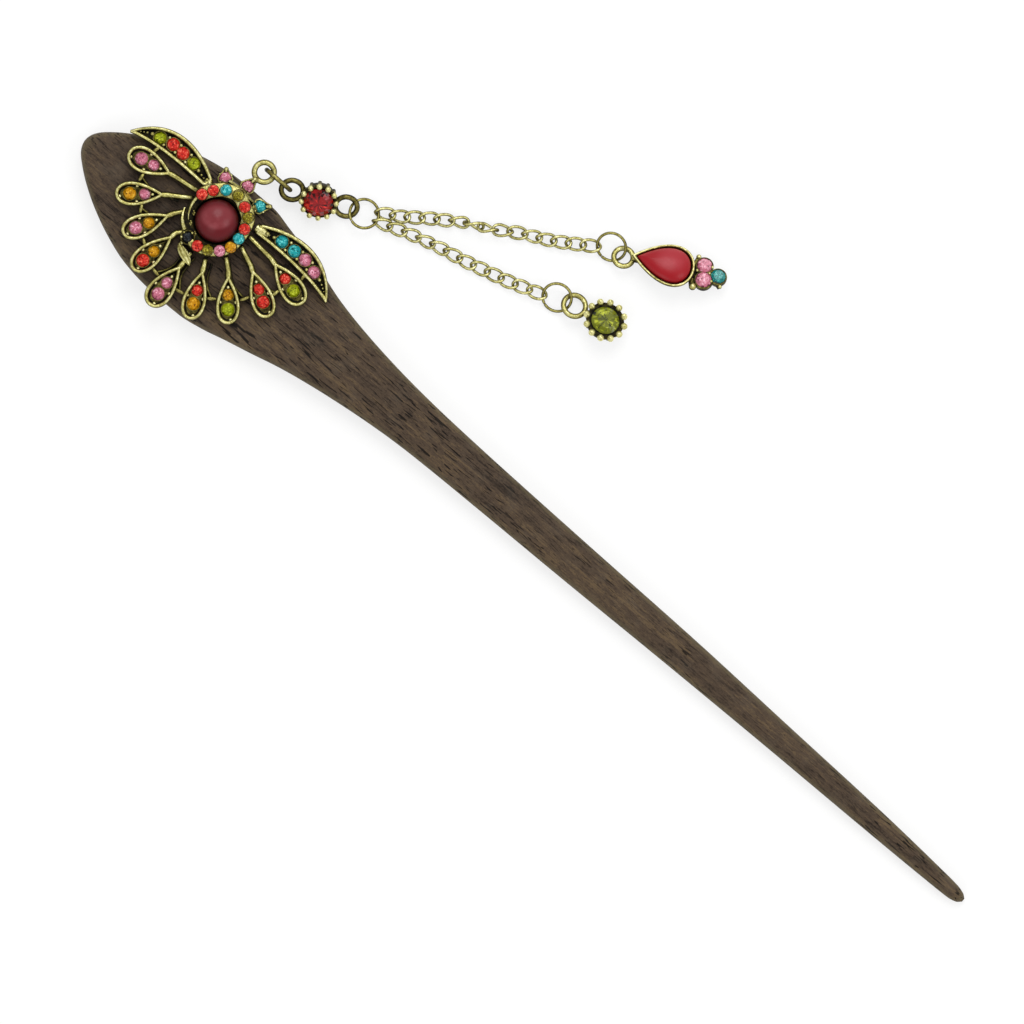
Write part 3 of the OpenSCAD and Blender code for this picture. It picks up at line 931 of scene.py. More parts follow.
class Finishes:
    """All materials, made once."""

    def __init__(self) -> None:
        """Makes the materials."""
        self.wood = Wenge().make()
        self.brass = AntiqueBrass().make()
        # each dome: foot colour in painted shade, body colour, then the painted highlight colour
        self.burgundy = Cabochon("burgundy_cabochon", "2a0508", "66121a", "8c3f44", 6.4, 7.7).make()
        self.crimson = Cabochon("crimson_cabochon", "4c0c10", "9c1a22", "b04048", 0.8, 2.7).make()
        self.gems = {colour: colour.make() for colour in StoneColour}

    def cast(self, piece: Piece, name: str, node: str) -> None:
        """Smooths a brass piece and hands it in for a CAD node."""
        smooth(piece, METAL_ANGLE)
        hand_in(piece, name, self.brass, "antique_brass", node)


# Stones


class Stones:
    """Brilliant-cut stones, modelled once at unit radius for each number of sides, then copied."""

    # from this many sides up, the painted flashes inside a stone fan out from its middle
    fan_sides: int = 20
    table_r: float = 0.48
    over_size: float = 1.03

    def __init__(self, finishes: Finishes) -> None:
        """Starts with no cuts; each is made when it is first needed.

        Args:
            finishes: the materials.
        """
        self.finishes = finishes
        self.cuts: dict[tuple[int, float, float], Piece] = {}
        self.chance = random.Random(11)

    def cut(self, sides: int, crown: float, pavilion: float) -> Piece:
        """Models a cut of unit radius: culet, pavilion, girdle, crown facets and a table with inner facets.

        Args:
            sides: number of points on the girdle, an even number.
            crown: height of the table over the girdle.
            pavilion: depth of the culet under it.

        Returns:
            The hidden pattern to copy from.
        """
        key = (sides, crown, pavilion)
        if key in self.cuts:
            return self.cuts[key]
        # radius and height of the odd points, then of the even ones
        rows = (
            (0.25, -pavilion, 0.25, -pavilion),
            (0.66, -0.5 * pavilion, 0.62, -0.5 * pavilion),
            (1.0, -0.05, 1.0, -0.05),
            (1.0, 0.05, 1.0, 0.05),
            (0.86, 0.5 * crown, 0.80, 0.52 * crown),
            (0.60, crown, 0.66, 0.86 * crown),
            (0.585, crown, 0.585, crown),
            (0.42, crown, 0.34, crown),
            (0.15, crown, 0.15, crown),
        )
        rings = []
        for odd, odd_z, even, even_z in rows:
            points = []
            for k in range(sides):
                turn = math.tau * (k + 0.5) / sides
                radius, z = (odd, odd_z) if k % 2 else (even, even_z)
                points.append(Vector((radius * math.cos(turn), radius * math.sin(turn), z)))
            rings.append(Ring(points))
        piece = loft(f"cut_{sides}_{len(self.cuts)}", rings)
        piece.hide_render = True
        piece.hide_viewport = True
        self.cuts[key] = piece
        return piece

    def copy(self, sides: int, crown: float, pavilion: float) -> Piece:
        """Copies a cut, and gives the copy its own painted shade for each facet and its own place among the
        painted flashes.

        Args:
            sides: number of points on the girdle.
            crown: height of the table over the girdle.
            pavilion: depth of the culet under it.

        Returns:
            The copy, at unit radius.
        """
        piece = twin(self.cut(sides, crown, pavilion))
        piece.hide_render = False
        piece.hide_viewport = False
        mesh = piece.data
        inside = mesh.attributes.new("inside", "FLOAT_VECTOR", "POINT")
        shift = Vector([self.chance.uniform(-9, 9) for _ in range(3)])
        values: list[float] = []
        for vert in mesh.vertices:
            spot = vert.co.copy()
            if sides >= self.fan_sides:
                reach = math.hypot(spot.x, spot.y)
                spot = Vector((1.25 * spot.x / reach, 1.25 * spot.y / reach, 0.45 * reach))
            values.extend(spot + shift)
        inside.data.foreach_set("vector", values)
        facet = mesh.attributes.new("facet", "FLOAT", "CORNER")
        facet_shades = [0.0] * len(mesh.loops)
        # extruding leaves the faces in another order each run, so the draws go by the faces' corners
        for face in sorted(mesh.polygons, key=lambda one: sorted(one.vertices)):
            reach = math.hypot(face.center.x, face.center.y)
            depth = self.chance.random() ** (0.8 if reach > self.table_r else 1.5)
            for loop in face.loop_indices:
                facet_shades[loop] = depth
        facet.data.foreach_set("value", facet_shades)
        return piece

    def set(
        self,
        name: str,
        node: str,
        colour: StoneColour,
        at: Vector,
        radius: float,
        sides: int = 16,
        crown: float = 0.45,
        pavilion: float = 0.5,
        tilt: Matrix | None = None,
        shade: float = 0.0,
    ) -> None:
        """Sets a stone in its place.

        Args:
            name: name of the piece.
            node: the CAD node that it replaces.
            colour: its colour.
            at: middle of its girdle.
            radius: its radius.
            sides: points on its girdle.
            crown: height of its crown.
            pavilion: depth of its pavilion.
            tilt: the setting's place, if the middle is measured in the setting.
            shade: how far, as a share of its radius, the painted dark edge reaches in from the +Y side.
        """
        piece = self.copy(sides, crown / radius, pavilion / radius)
        carry(piece, Matrix.Rotation(self.chance.uniform(0, math.tau), 4, "Z"))
        # the gem material paints shade near the girdle from this distance, reaching further in on the +Y side
        # when shade is set
        edge = [math.hypot(vert.co.x, vert.co.y + shade) for vert in piece.data.vertices]
        piece.data.attributes.new("edge", "FLOAT", "POINT").data.foreach_set("value", edge)
        carry(piece, (tilt or Matrix()) @ Matrix.Translation(at) @ Matrix.Scale(self.over_size * radius, 4))
        hand_in(piece, name, self.finishes.gems[colour], colour.slot, node)

    def clear(self) -> None:
        """Removes the patterns."""
        for piece in self.cuts.values():
            bpy.data.objects.remove(piece, do_unlink=True)
        self.cuts.clear()


@dataclass
class Part:
    """A sub-assembly, with the materials that dress it and the setter of its stones."""

    looks: Finishes
    setter: Stones


# The stick


@dataclass
class Stick(Part):
    """The flat tapering wooden stick: sections along it, joined by a smooth curve."""

    long: float = 180.0
    wide: float = 22.2
    thick: float = 4.0
    head: float = 25.0
    edge: float = 1.1
    low_edge: float = 0.35
    steps: int = 5
    tip_steps: int = 2
    corner_steps: int = 4
    # along, near side and far side as shares of half the width, thickness as a share
    sections: tuple[Wide, ...] = (
        (0.000, 0.024, 0.040, 0.45),
        (0.0012, 0.092, 0.108, 0.62),
        (0.004, 0.170, 0.184, 0.74),
        (0.010, 0.265, 0.285, 0.84),
        (0.026, 0.460, 0.480, 0.95),
        (0.048, 0.662, 0.676, 1.00),
        (0.070, 0.815, 0.820, 1.00),
        (0.093, 0.930, 0.922, 1.00),
        (0.115, 0.982, 0.982, 1.00),
        (0.138, 1.000, 1.000, 1.00),
        (0.160, 0.991, 1.000, 1.00),
        (0.182, 0.932, 0.935, 1.00),
        (0.204, 0.838, 0.856, 1.00),
        (0.227, 0.748, 0.770, 1.00),
        (0.255, 0.631, 0.640, 1.00),
        (0.282, 0.545, 0.552, 0.99),
        (0.310, 0.473, 0.486, 0.97),
        (0.338, 0.414, 0.436, 0.95),
        (0.366, 0.369, 0.401, 0.93),
        (0.394, 0.342, 0.378, 0.91),
        (0.450, 0.315, 0.351, 0.88),
        (0.562, 0.275, 0.320, 0.83),
        (0.673, 0.225, 0.297, 0.78),
        (0.785, 0.185, 0.243, 0.72),
        (0.896, 0.156, 0.189, 0.65),
        (0.965, 0.130, 0.132, 0.58),
        (0.988, 0.115, 0.105, 0.50),
        (0.996, 0.085, 0.072, 0.38),
        (1.000, 0.030, 0.025, 0.20),
    )

    def between(self, k: int, t: float) -> Wide:
        """A section between two of the table's, on a curve without overshoot.

        Args:
            k: number of the section before it.
            t: share of the way from there to the next one.

        Returns:
            The section's place, near side, far side and thickness.
        """
        rows = self.sections
        a, b = rows[k], rows[k + 1]
        before, after = rows[max(k - 1, 0)], rows[min(k + 2, len(rows) - 1)]
        span = b[0] - a[0]

        def slope(p: Sequence[float], q: Sequence[float], r: Sequence[float], i: int) -> float:
            """Slope of column i at section q, between its neighbours p and r, or 0 at a crest."""
            left = (q[i] - p[i]) / (q[0] - p[0]) if q[0] > p[0] else (r[i] - q[i]) / (r[0] - q[0])
            right = (r[i] - q[i]) / (r[0] - q[0]) if r[0] > q[0] else left
            return 0.0 if left * right <= 0 else 2 * left * right / (left + right)

        values = [a[0] + span * t]
        for i in (1, 2, 3):
            m0, m1 = slope(before, a, b, i) * span, slope(a, b, after, i) * span
            share = ease(t)
            values.append(a[i] * (1 - share) + b[i] * share + m0 * t * (1 - t) ** 2 - m1 * t * t * (1 - t))
        return (values[0], values[1], values[2], values[3])

    def loop(self, along: float, near: float, far: float, thick: float) -> Ring:
        """A rounded section of the stick: a soft top edge and a small lower edge.

        Args:
            along: its place, as a share of the length.
            near: its reach towards -Y, as a share of half the width.
            far: its reach towards +Y, as a share of half the width.
            thick: its thickness, as a share of the stick's.

        Returns:
            The section.
        """
        x = along * self.long - self.head
        n, f, top = near * self.wide / 2, far * self.wide / 2, thick * self.thick
        edge = min(self.edge, 0.48 * top, 0.7 * min(n, f))
        low = min(self.low_edge, 0.4 * edge)
        # middle across, middle in height, radius and first angle of each rounded corner
        corners = (
            (f - low, low, low, -90),
            (f - edge, top - edge, edge, 0),
            (edge - n, top - edge, edge, 90),
            (low - n, low, low, 180),
        )
        points: list[Vector] = []
        for cy, cz, r, start in corners:
            for k in range(self.corner_steps + 1):
                turn = math.radians(start + 90 * k / self.corner_steps)
                points.append(Vector((x, cy + r * math.cos(turn), cz + r * math.sin(turn))))
        return Ring(points)

    def build(self) -> None:
        """Models and dresses the stick."""
        rings = []
        for k in range(len(self.sections) - 1):
            steps = self.steps if k > 1 else self.tip_steps
            rings += [self.loop(*self.between(k, step / steps)) for step in range(steps)]
        rings.append(self.loop(*self.sections[-1]))
        piece = loft("stick", rings)
        slopes = [n.vector.z for n in piece.data.vertex_normals]
        # a painted sheen where the surface turns down from the top, fading out on the underside
        bevel = [min(max((0.97 - z) / 0.3, 0.0), max((z + 0.1) / 0.8, 0.0), 1.0) for z in slopes]
        piece.data.attributes.new("bevel", "FLOAT", "POINT").data.foreach_set("value", bevel)
        smooth(piece, PLAIN_ANGLE)
        hand_in(piece, "wooden_stick", self.looks.wood, "wood", "stick")
        log.info("stick: %d sections", len(rings))


# The peacock


@dataclass
class Tray:
    """A walled leaf: its outline can be drawn in, and its rim is a rounded band round a sunk floor."""

    outline: Callable[[float], list[Vector]]
    rim: float = 0.66
    bottom: float = CAST_Z
    floor: float = FLOOR_Z
    top: float = RIM_Z
    floor_bright: float = 0.46
    taper: float = 0.0

    def build(self, name: str) -> Piece:
        """Models the tray, in its own plane.

        Args:
            name: name of the piece.

        Returns:
            The tray.
        """
        lean = self.taper / self.rim
        # inset as a share of the rim, height, brightness: dark low on the walls and at the floor's edge,
        # partly patina and partly painted shade, with a painted highlight on the crest
        profile = (
            (0.06 + lean, self.bottom, 0.0),
            (0.85 * lean, self.bottom + 0.2, 0.08),
            (0.05 * lean, self.top - 0.40, 0.30),
            (0.10, self.top - 0.14, 0.55),
            (0.28, self.top, 1.0),
            (0.58, self.top - 0.01, 0.95),
            (0.78, self.top - 0.12, 0.68),
            (0.92, self.top - 0.36, 0.25),
            (1.00, self.floor + 0.10, 0.0),
            (1.18, self.floor, 0.05),
            (1.38, self.floor, self.floor_bright),
        )
        return loft(name, [level(self.outline(share * self.rim), z, bright) for share, z, bright in profile])


def rail(name: str, stations: Sequence[Station], low: float = CAST_Z, bright: float = 0.95) -> Piece:
    """Models a bar with a rounded back along a path in the plane.

    Args:
        name: name of the piece.
        stations: place, width and height of the back, and a share of its brightness where that isn't 1.
        low: height of its underside.
        bright: how bright its back is, a painted highlight over rubbed metal.

    Returns:
        The bar.
    """
    # sideways as a share of half the width, height as a share of the back's, brightness: dark sides as patina
    # and painted shade, a painted highlight on the back
    section = (
        (-0.96, 0.0, 0.0),
        (-1, 0.5, 0.12),
        (-0.82, 0.84, 0.48),
        (-0.42, 1, 1),
        (0.38, 1, 1),
        (0.78, 0.84, 0.55),
        (1, 0.5, 0.12),
        (0.96, 0.0, 0.0),
    )
    path = [station[0] for station in stations]
    rings = []
    for k, (point, width, top, *share) in enumerate(stations):
        way = (path[min(k + 1, len(path) - 1)] - path[max(k - 1, 0)]).normalized()
        side = flat(-way.y, way.x)
        loop = [Vector((*(point + side * s * width / 2).xy, low + h * (top - low))) for s, h, _ in section]
        rings.append(Ring(loop, bright * (share[0] if share else 1.0)))
    piece = loft(name, rings)
    shine_by_order(piece, [row[2] for row in section])
    return piece


def shine_by_order(piece: Piece, shares: Sequence[float]) -> None:
    """Scales "bright" by a share for each point of the loops that a piece is lofted from.

    Args:
        piece: the lofted piece.
        shares: the shares, in the order of a loop's points.
    """
    order = [item.value for item in piece.data.attributes["order"].data]
    shine = piece.data.attributes["bright"].data
    shine.foreach_set("value", [item.value * shares[index] for item, index in zip(shine, order)])


@dataclass(frozen=True)
class Feather:
    """One drop feather: where it stands, the way it points, its shares of size and its two stones."""

    at: float
    reach: float
    heading: float
    long: float
    wide: float
    inner: float
    outer: float
    root: float
    inner_colour: StoneColour
    outer_colour: StoneColour

    @property
    def point(self) -> Vector:
        """Its inner point."""
        return polar(self.at, FAN_R * self.reach)

    @property
    def way(self) -> Vector:
        """The way it points."""
        return toward(self.heading)

    @property
    def seats(self) -> tuple[tuple[float, StoneColour], ...]:
        """Place along the feather and colour of its inner and its outer stone."""
        return ((self.inner, self.inner_colour), (self.outer, self.outer_colour))


@dataclass
class Fan(Part):
    """The nine feathers with their stems, beads and stones."""

    long: float = 8.0
    wide: float = 3.9
    stem: float = 1.0
    bead: float = 0.29
    bead_side: float = 0.33
    radii: Flat = (0.87, 1.0)
    # where the stem is seen to leave the body ring: past it for the blunt ones, under it for the others
    blunt_from: float = 250.0
    blunt_gap: float = 0.35
    start: float = 0.06
    # share of the stem's width, height over the rim, share of the brightness
    stations: tuple[Row, ...] = (
        (0.50, -0.80, 0.15),
        (0.50, -0.80, 0.15),
        (0.72, -0.35, 0.50),
        (0.86, -0.12, 1.00),
        (0.86, -0.10, 0.95),
        (0.96, -0.04, 0.90),
        (1.05, 0.00, 1.00),
        (1.00, -0.01, 0.85),
        (0.80, -0.08, 0.45),
        (0.30, -0.30, 0.20),
    )
    # where it stands, reach, heading, length, width, inner and outer stone, root, their colours
    feathers: tuple[Feather, ...] = (
        Feather(175, 1.10, 193.0, 0.970, 1.050, 0.420, 0.700, 161, StoneColour.PINK, StoneColour.PINK),
        Feather(194, 0.99, 218.5, 0.985, 0.990, 0.410, 0.710, 176, StoneColour.PINK, StoneColour.AMBER),
        Feather(213, 0.80, 241.5, 1.020, 0.975, 0.445, 0.715, 203, StoneColour.AMBER, StoneColour.PINK),
        Feather(239, 0.79, 260.6, 1.040, 1.010, 0.470, 0.735, 240, StoneColour.AMBER, StoneColour.RED),
        Feather(272, 0.98, 271.8, 1.000, 1.055, 0.437, 0.712, 271, StoneColour.PINK, StoneColour.PINK),
        Feather(295, 0.87, 295.0, 1.010, 0.985, 0.417, 0.680, 293, StoneColour.RED, StoneColour.AMBER),
        Feather(323, 0.94, 310.0, 0.975, 0.975, 0.410, 0.700, 326, StoneColour.AMBER, StoneColour.LIME),
        Feather(347, 1.02, 329.6, 1.005, 0.975, 0.417, 0.675, 356, StoneColour.RED, StoneColour.RED),
        Feather(365, 1.20, 345.4, 1.005, 1.025, 0.395, 0.680, 378, StoneColour.RED, StoneColour.LIME),
    )

    def leaf(self, number: int, one: Feather) -> Piece:
        """Models a feather's tray with its beads and the collars round its stones, in place.

        Args:
            number: the feather's number.
            one: the feather.

        Returns:
            The leaf.
        """
        long, wide = self.long * one.long, self.wide * one.wide
        name = f"feather_{number}"
        parts = [Tray(lambda inset: inner_drop(long, wide, inset)).build(name)]
        middle = (one.inner + one.outer) / 2
        # share of the length, share of the width, share of the bead's size
        beads = (
            (one.inner - 0.155, 0.0, 0.9),
            (middle, self.bead_side, 1.0),
            (middle, -self.bead_side, 1.0),
            (0.905, 0.12, 1.0),
        )
        for share, side, size in beads:
            at = Vector((share * long, side * wide, FLOOR_Z + 0.35))
            parts.append(bead(at, self.bead * size, bright=1.15))
        for (share, _), radius in zip(one.seats, self.radii):
            at = Vector((share * long, 0, FLOOR_Z + 0.03))
            parts.append(collar(at, radius + COLLAR_GAP, COLLAR_WIRE, 0.75))
        piece = join(name, parts)
        carry(piece, Matrix.Translation(one.point) @ Matrix.Rotation(math.radians(one.heading), 4, "Z"))
        return piece

    def stalk(self, one: Feather) -> Piece:
        """Models the stem that joins a feather to the body ring.

        Args:
            one: the feather.

        Returns:
            The stem.
        """
        foot = polar(one.root, 0.45 * (BODY_W + BODY_L) / 2)
        bend = one.point - 0.6 * one.way
        start = self.start
        if one.root > self.blunt_from:
            hidden = body_reach(one.root) + self.blunt_gap - (foot - BODY_CENTRE).length
            start = hidden / (bend - foot).length
        path = [foot.lerp(bend, t) for t in (0.0, start - 0.03, start, start + 0.06, 0.5 + 0.5 * start)]
        path += [bend, *(one.point + s * one.way for s in (0.0, 0.5, 0.95, 1.3))]
        table = zip(path, self.stations)
        rows = [(at, self.stem * width, RIM_Z + rise, share) for at, (width, rise, share) in table]
        return rail("stem", rows)

    def build(self) -> None:
        """Models, dresses and sets all feathers."""
        for number, one in enumerate(self.feathers, 1):
            name = f"feather_{number}"
            self.looks.cast(join(name, [self.leaf(number, one), self.stalk(one)]), name, "peacock_setting")
            for k, ((share, colour), radius) in enumerate(zip(one.seats, self.radii)):
                at = one.point + share * self.long * one.long * one.way
                at.z = SEAT_Z + STONE_RISE
                node = f"feather_stone_{2 * number - 1 + k}"
                self.setter.set(f"set_{node}", node, colour, at, radius)
        log.info("fan: %d feathers", len(self.feathers))


@dataclass
class Wings(Part):
    """The two long wings with their stones, beads and ribs."""

    long: float = 15.2
    root_w: float = 1.7
    rim: float = 0.70
    bead: float = 0.27
    bead_side: float = 0.74
    stone_r: float = 1.0
    tip_stone: float = 0.95
    samples: int = 30
    thinnest: float = 0.03
    # how far the root reaches on the left wing, as a share of the right one's
    left_root: float = 0.45
    # side, root from the body's centre, share of the length
    places: tuple[tuple[int, float, float, float], ...] = ((-1, -4.6, 3.50, 0.97), (1, 5.6, 3.30, 1.02))
    stones_at: tuple[Flat, ...] = ((0.266, 0.056), (0.422, 0.065), (0.560, 0.070), (0.708, 0.032))
    colours: tuple[tuple[StoneColour, ...], ...] = (
        (StoneColour.LIME, StoneColour.RED, StoneColour.RED, StoneColour.LIME),
        (StoneColour.AQUA, StoneColour.AQUA, StoneColour.PINK, StoneColour.PINK),
    )
    # shares of the length along and across, share of the bead's size
    end_beads: tuple[Row, ...] = (
        (0.180, 0.035, 1.25),
        (0.125, 0.020, 0.85),
        (0.085, 0.010, 0.7),
        (0.800, 0.012, 1.25),
        (0.848, -0.012, 0.75),
        (0.880, -0.032, 0.65),
        (0.908, -0.050, 0.55),
    )
    # along, across, width and height over the rim of the block at the root
    root: tuple[Wide, ...] = (
        (-0.35, -0.05, 1.4, -0.1),
        (0.35, 0.0, 1.75, 0.02),
        (1.1, 0.1, 1.7, -0.12),
        (1.9, 0.18, 1.1, -0.4),
    )
    # along, across, radius
    root_beads: tuple[Row, ...] = ((0.1, 0.42, 0.26), (1.65, 0.35, 0.30), (0.5, -0.42, 0.2))

    def edges(self, long: float, t: float) -> tuple[Vector, Vector]:
        """Points of the wing's two edges.

        Args:
            long: the wing's length.
            t: share of the way to its tip.

        Returns:
            The upper edge's point and the lower edge's.
        """
        r = self.root_w
        upper = ((0, 0.5 * r), (0.3 * long, 2.12 * r), (0.73 * long, 2.82 * r), (long, -0.94 * r))
        lower = ((0, -0.5 * r), (0.39 * long, -0.32 * r), (0.74 * long, -0.44 * r), (0.985 * long, -1.14 * r))
        return bezier(*upper, t), bezier(*lower, t)

    def outline(self, long: float, inset: float) -> list[Vector]:
        """The wing's outline, drawn in.

        Args:
            long: the wing's length.
            inset: how far it is drawn in.

        Returns:
            The lower edge's points outwards, then the upper edge's back.
        """
        start, end = 0.0, 1.0
        if inset > 0:
            fine = [k / 200 for k in range(201)]
            pairs = [(t, *self.edges(long, t)) for t in fine]
            start = next(t for t, upper, lower in pairs if ((upper + lower) / 2).x >= inset)
            end = max(t for t, upper, lower in pairs if (upper - lower).length / 2 > 1.05 * inset)
        lower_side, upper_side = [], []
        for k in range(self.samples):
            upper, lower = self.edges(long, start + (end - start) * k / (self.samples - 1))
            middle, half = (upper + lower) / 2, (upper - lower) / 2
            half = half * max(1 - inset / max(half.length, 1e-6), self.thinnest)
            lower_side.append(middle - half)
            upper_side.append(middle + half)
        return lower_side + upper_side[::-1]

    def wing(self, number: int, side: int, share: float) -> Piece:
        """Models one wing in its own plane: tray, beads, collars and the block at its root.

        Args:
            number: the wing's number.
            side: -1 for the left wing, 1 for the right one.
            share: its length as a share of the wings'.

        Returns:
            The wing.
        """
        long = self.long * share
        name = f"wing_{number}"
        parts = [Tray(lambda inset: self.outline(long, inset), rim=self.rim, floor_bright=0.10).build(name)]
        for a, b in zip(self.stones_at, self.stones_at[1:]):
            middle = Vector(((a[0] + b[0]) / 2 * long, (a[1] + b[1]) / 2 * long, FLOOR_Z + 0.35))
            for up in (-self.bead_side, self.bead_side):
                parts.append(bead(middle + flat(0, up), self.bead))
        for x, y, size in self.end_beads:
            parts.append(bead(Vector((x * long, y * long, FLOOR_Z + 0.2)), self.bead * size, bright=0.85))
        for x, y in self.stones_at:
            at = Vector((x * long, y * long, FLOOR_Z + 0.03))
            parts.append(collar(at, self.stone_r + COLLAR_GAP, COLLAR_WIRE, 0.75))
        reach = 1.0 if side > 0 else self.left_root
        rows = [(flat(x * reach, y), width, RIM_Z + rise) for x, y, width, rise in self.root]
        parts.append(rail("root", rows, bright=1.05))
        for x, y, size in self.root_beads:
            at = Vector((x * reach, y, RIM_Z - 0.15))
            parts.append(bead(at, size * (0.6 + 0.4 * reach), bright=0.9))
        return join(name, parts)

    def build(self) -> None:
        """Models, dresses and sets both wings."""
        for number, (side, x, y, share) in enumerate(self.places, 1):
            piece = self.wing(number, side, share)
            place = Matrix.Translation(BODY_CENTRE + flat(x, y)) @ Matrix.Diagonal((side, 1, 1, 1))
            carry(piece, place)
            self.looks.cast(piece, f"wing_{number}", "peacock_setting")
            last = len(self.stones_at) - 1
            for k, (along, across) in enumerate(self.stones_at):
                at = place @ flat(along * self.long * share, across * self.long * share)
                at.z = SEAT_Z + STONE_RISE
                node = f"wing_stone_{4 * (number - 1) + k + 1}"
                radius = self.stone_r * (self.tip_stone if k == last else 1.0)
                self.setter.set(f"set_{node}", node, self.colours[number - 1][k], at, radius)
        log.info("wings: %d", len(self.places))


@dataclass
class Body(Part):
    """The ring round the dome with its field of stones, the head with its eye, and the beak leaf."""

    stone_r: float = 0.88
    over_size: float = 1.05
    well_r: float = 3.64
    eye_at: float = -109.5
    eye_reach: float = 0.87
    eye_r: float = 0.8
    claw_r: float = 0.2
    claw_reach: float = 0.98
    claws: tuple[float, ...] = (85, 165, 215)
    dome_h: float = 2.0
    dome_foot: float = 4.95
    dome_steps: int = 16
    # angle and reach of each cluster of small beads
    clusters: tuple[Flat, ...] = ((201, 3.68), (225, 3.95), (252, 3.86))
    # place in the cluster and radius
    cluster_beads: tuple[Row, ...] = (
        (0.0, 0.0, 0.20),
        (-0.26, 0.16, 0.16),
        (0.10, -0.30, 0.15),
        (-0.12, -0.22, 0.12),
    )
    # angle, reach as a share of half the body's length, colour
    stones: tuple[tuple[float, float, StoneColour], ...] = (
        (160.0, 0.790, StoneColour.RED),
        (137.5, 0.795, StoneColour.RED),
        (114.0, 0.835, StoneColour.AQUA),
        (90.5, 0.865, StoneColour.MOSS),
        (67.0, 0.810, StoneColour.RED),
        (46.5, 0.820, StoneColour.MOSS),
        (24.0, 0.755, StoneColour.RED),
        (1.5, 0.735, StoneColour.AQUA),
        (-21.5, 0.780, StoneColour.AMBER),
        (-44.0, 0.785, StoneColour.PINK),
        (-67.0, 0.800, StoneColour.MOSS),
        (-87.0, 0.825, StoneColour.RED),
    )

    @property
    def eye(self) -> Vector:
        """The eye's place."""
        return polar(self.eye_at, self.eye_reach * BODY_L / 2)

    def ring(self) -> Piece:
        """Models the body's plate with its well and the thin rim round the dome.

        Returns:
            The plate.
        """

        def ellipse(inset: float) -> list[Vector]:
            """The body's outline, drawn in."""
            half_w, half_l = BODY_W / 2 - inset, BODY_L / 2 - inset
            return [BODY_CENTRE + p for p in circle(half_w, 72, half_l / half_w)]

        def well(radius: float) -> list[Vector]:
            """A circle round the body's centre."""
            return [BODY_CENTRE + p for p in circle(radius, 72)]

        # brightness falls down the plate's outer side and into the well round the dome: partly patina in the
        # hollows, partly painted shadow
        rings = [
            level(ellipse(0.08), CAST_Z, 0.0),
            level(ellipse(0.02), CAST_Z + 0.25, 0.1),
            level(ellipse(0.02), BODY_Z - 0.75, 0.25),
            level(ellipse(0.16), BODY_Z - 0.50, 0.3),
            level(ellipse(0.50), BODY_Z - 0.45, 0.12),
            level(well(4.05), BODY_Z - 0.45, 0.16),
            level(well(3.74), BODY_Z - 0.50, 0.24),
            level(well(3.60), BODY_Z - 0.75, 0.12),
            level(well(3.54), FLOOR_Z + 0.1, 0.0),
        ]
        return loft("ring", rings)

    def reaches(self, angle: float) -> Flat:
        """Reaches of the bright band, led along the stones' edges.

        Args:
            angle: angle round the body, in degrees.

        Returns:
            The inner reach and the outer one.
        """
        rows = sorted((at, reach * BODY_L / 2) for at, reach, _ in self.stones)
        rows = [(rows[0][0] - 30, rows[0][1]), *rows, (rows[-1][0] + 30, rows[-1][1])]
        far = rows[-1][1]
        for (at, reach), (after, beyond) in zip(rows, rows[1:]):
            if at <= angle <= after:
                far = reach + (beyond - reach) * ease((angle - at) / (after - at))
                break
        # the band widens from the lower right round to the upper side
        share = clamp((angle - 2) / 26)
        inner = far - 0.35 - (self.stone_r - 0.13) * share
        return max(inner, self.well_r), far + self.stone_r - 0.02 + 0.20 * share

    def horseshoe(self) -> Piece:
        """Models the bright band that the stones are set in, open on the head's side.

        Returns:
            The band.
        """
        low, top = BODY_Z - 0.75, BODY_Z - 0.02
        start, step, count = -108.0, 2.5, 113
        rings = []
        for k in range(count):
            angle = start + step * k
            inner, outer = self.reaches(angle)
            share = min(1.0, (angle + 110) / 10, (174 - angle) / 12)
            middle = 0.5 * (inner + outer)
            inner, outer = middle + (inner - middle) * share, middle + (outer - middle) * share
            # reach, height
            profile = (
                (inner, low),
                (inner, top - 0.13),
                (inner + 0.08, top),
                (outer - 0.14, top),
                (outer, top - 0.20),
                (outer, low),
            )
            rings.append(Ring([polar(angle, reach) + upright(z) for reach, z in profile]))
        piece = loft("horseshoe", rings)
        # painted shade on the band's sides, lighter towards its top
        shine_by_order(piece, (0.18, 0.50, 0.88, 0.88, 0.50, 0.18))
        return piece

    def crescent(self) -> Piece:
        """Models the plain band that runs on from the first stone to a point, and the neck beside it.

        Returns:
            Both, joined.
        """
        widths = (0.60, 0.62, 0.60, 0.56, 0.52, 0.47, 0.41, 0.34, 0.26, 0.12)
        path = [polar(166 + 5.8 * k, 4.78 - 0.042 * k) for k in range(len(widths))]
        band = rail("band", [(at, width, BODY_Z - 0.02) for at, width in zip(path, widths)], low=BODY_Z - 0.9)
        # angle, reach, width, height
        table = (
            (198, 5.38, 0.32, 6.0),
            (207, 5.40, 0.5, 6.2),
            (217, 5.36, 0.72, 6.32),
            (227, 5.26, 0.95, 6.38),
            (236, 5.12, 1.1, 6.3),
        )
        neck = rail("neck", [(polar(angle, reach), width, top) for angle, reach, width, top in table])
        return join("crescent", [band, neck])

    def head(self) -> Piece:
        """Models the head: a round cup for the eye with a rolled rim.

        Returns:
            The cup.
        """
        profile = (
            (1.12, CAST_Z, 0.0),
            (1.20, CAST_Z + 0.5, 0.15),
            (1.20, BODY_Z - 0.45, 0.35),
            (1.12, BODY_Z - 0.12, 0.62),
            (1.02, BODY_Z - 0.05, 0.5),
            (0.90, BODY_Z - 0.12, 0.2),
            (0.84, BODY_Z - 0.28, 0.0),
            (0.7, BODY_Z - 0.4, 0.0),
        )
        return lathe("head", profile, 28, self.eye)

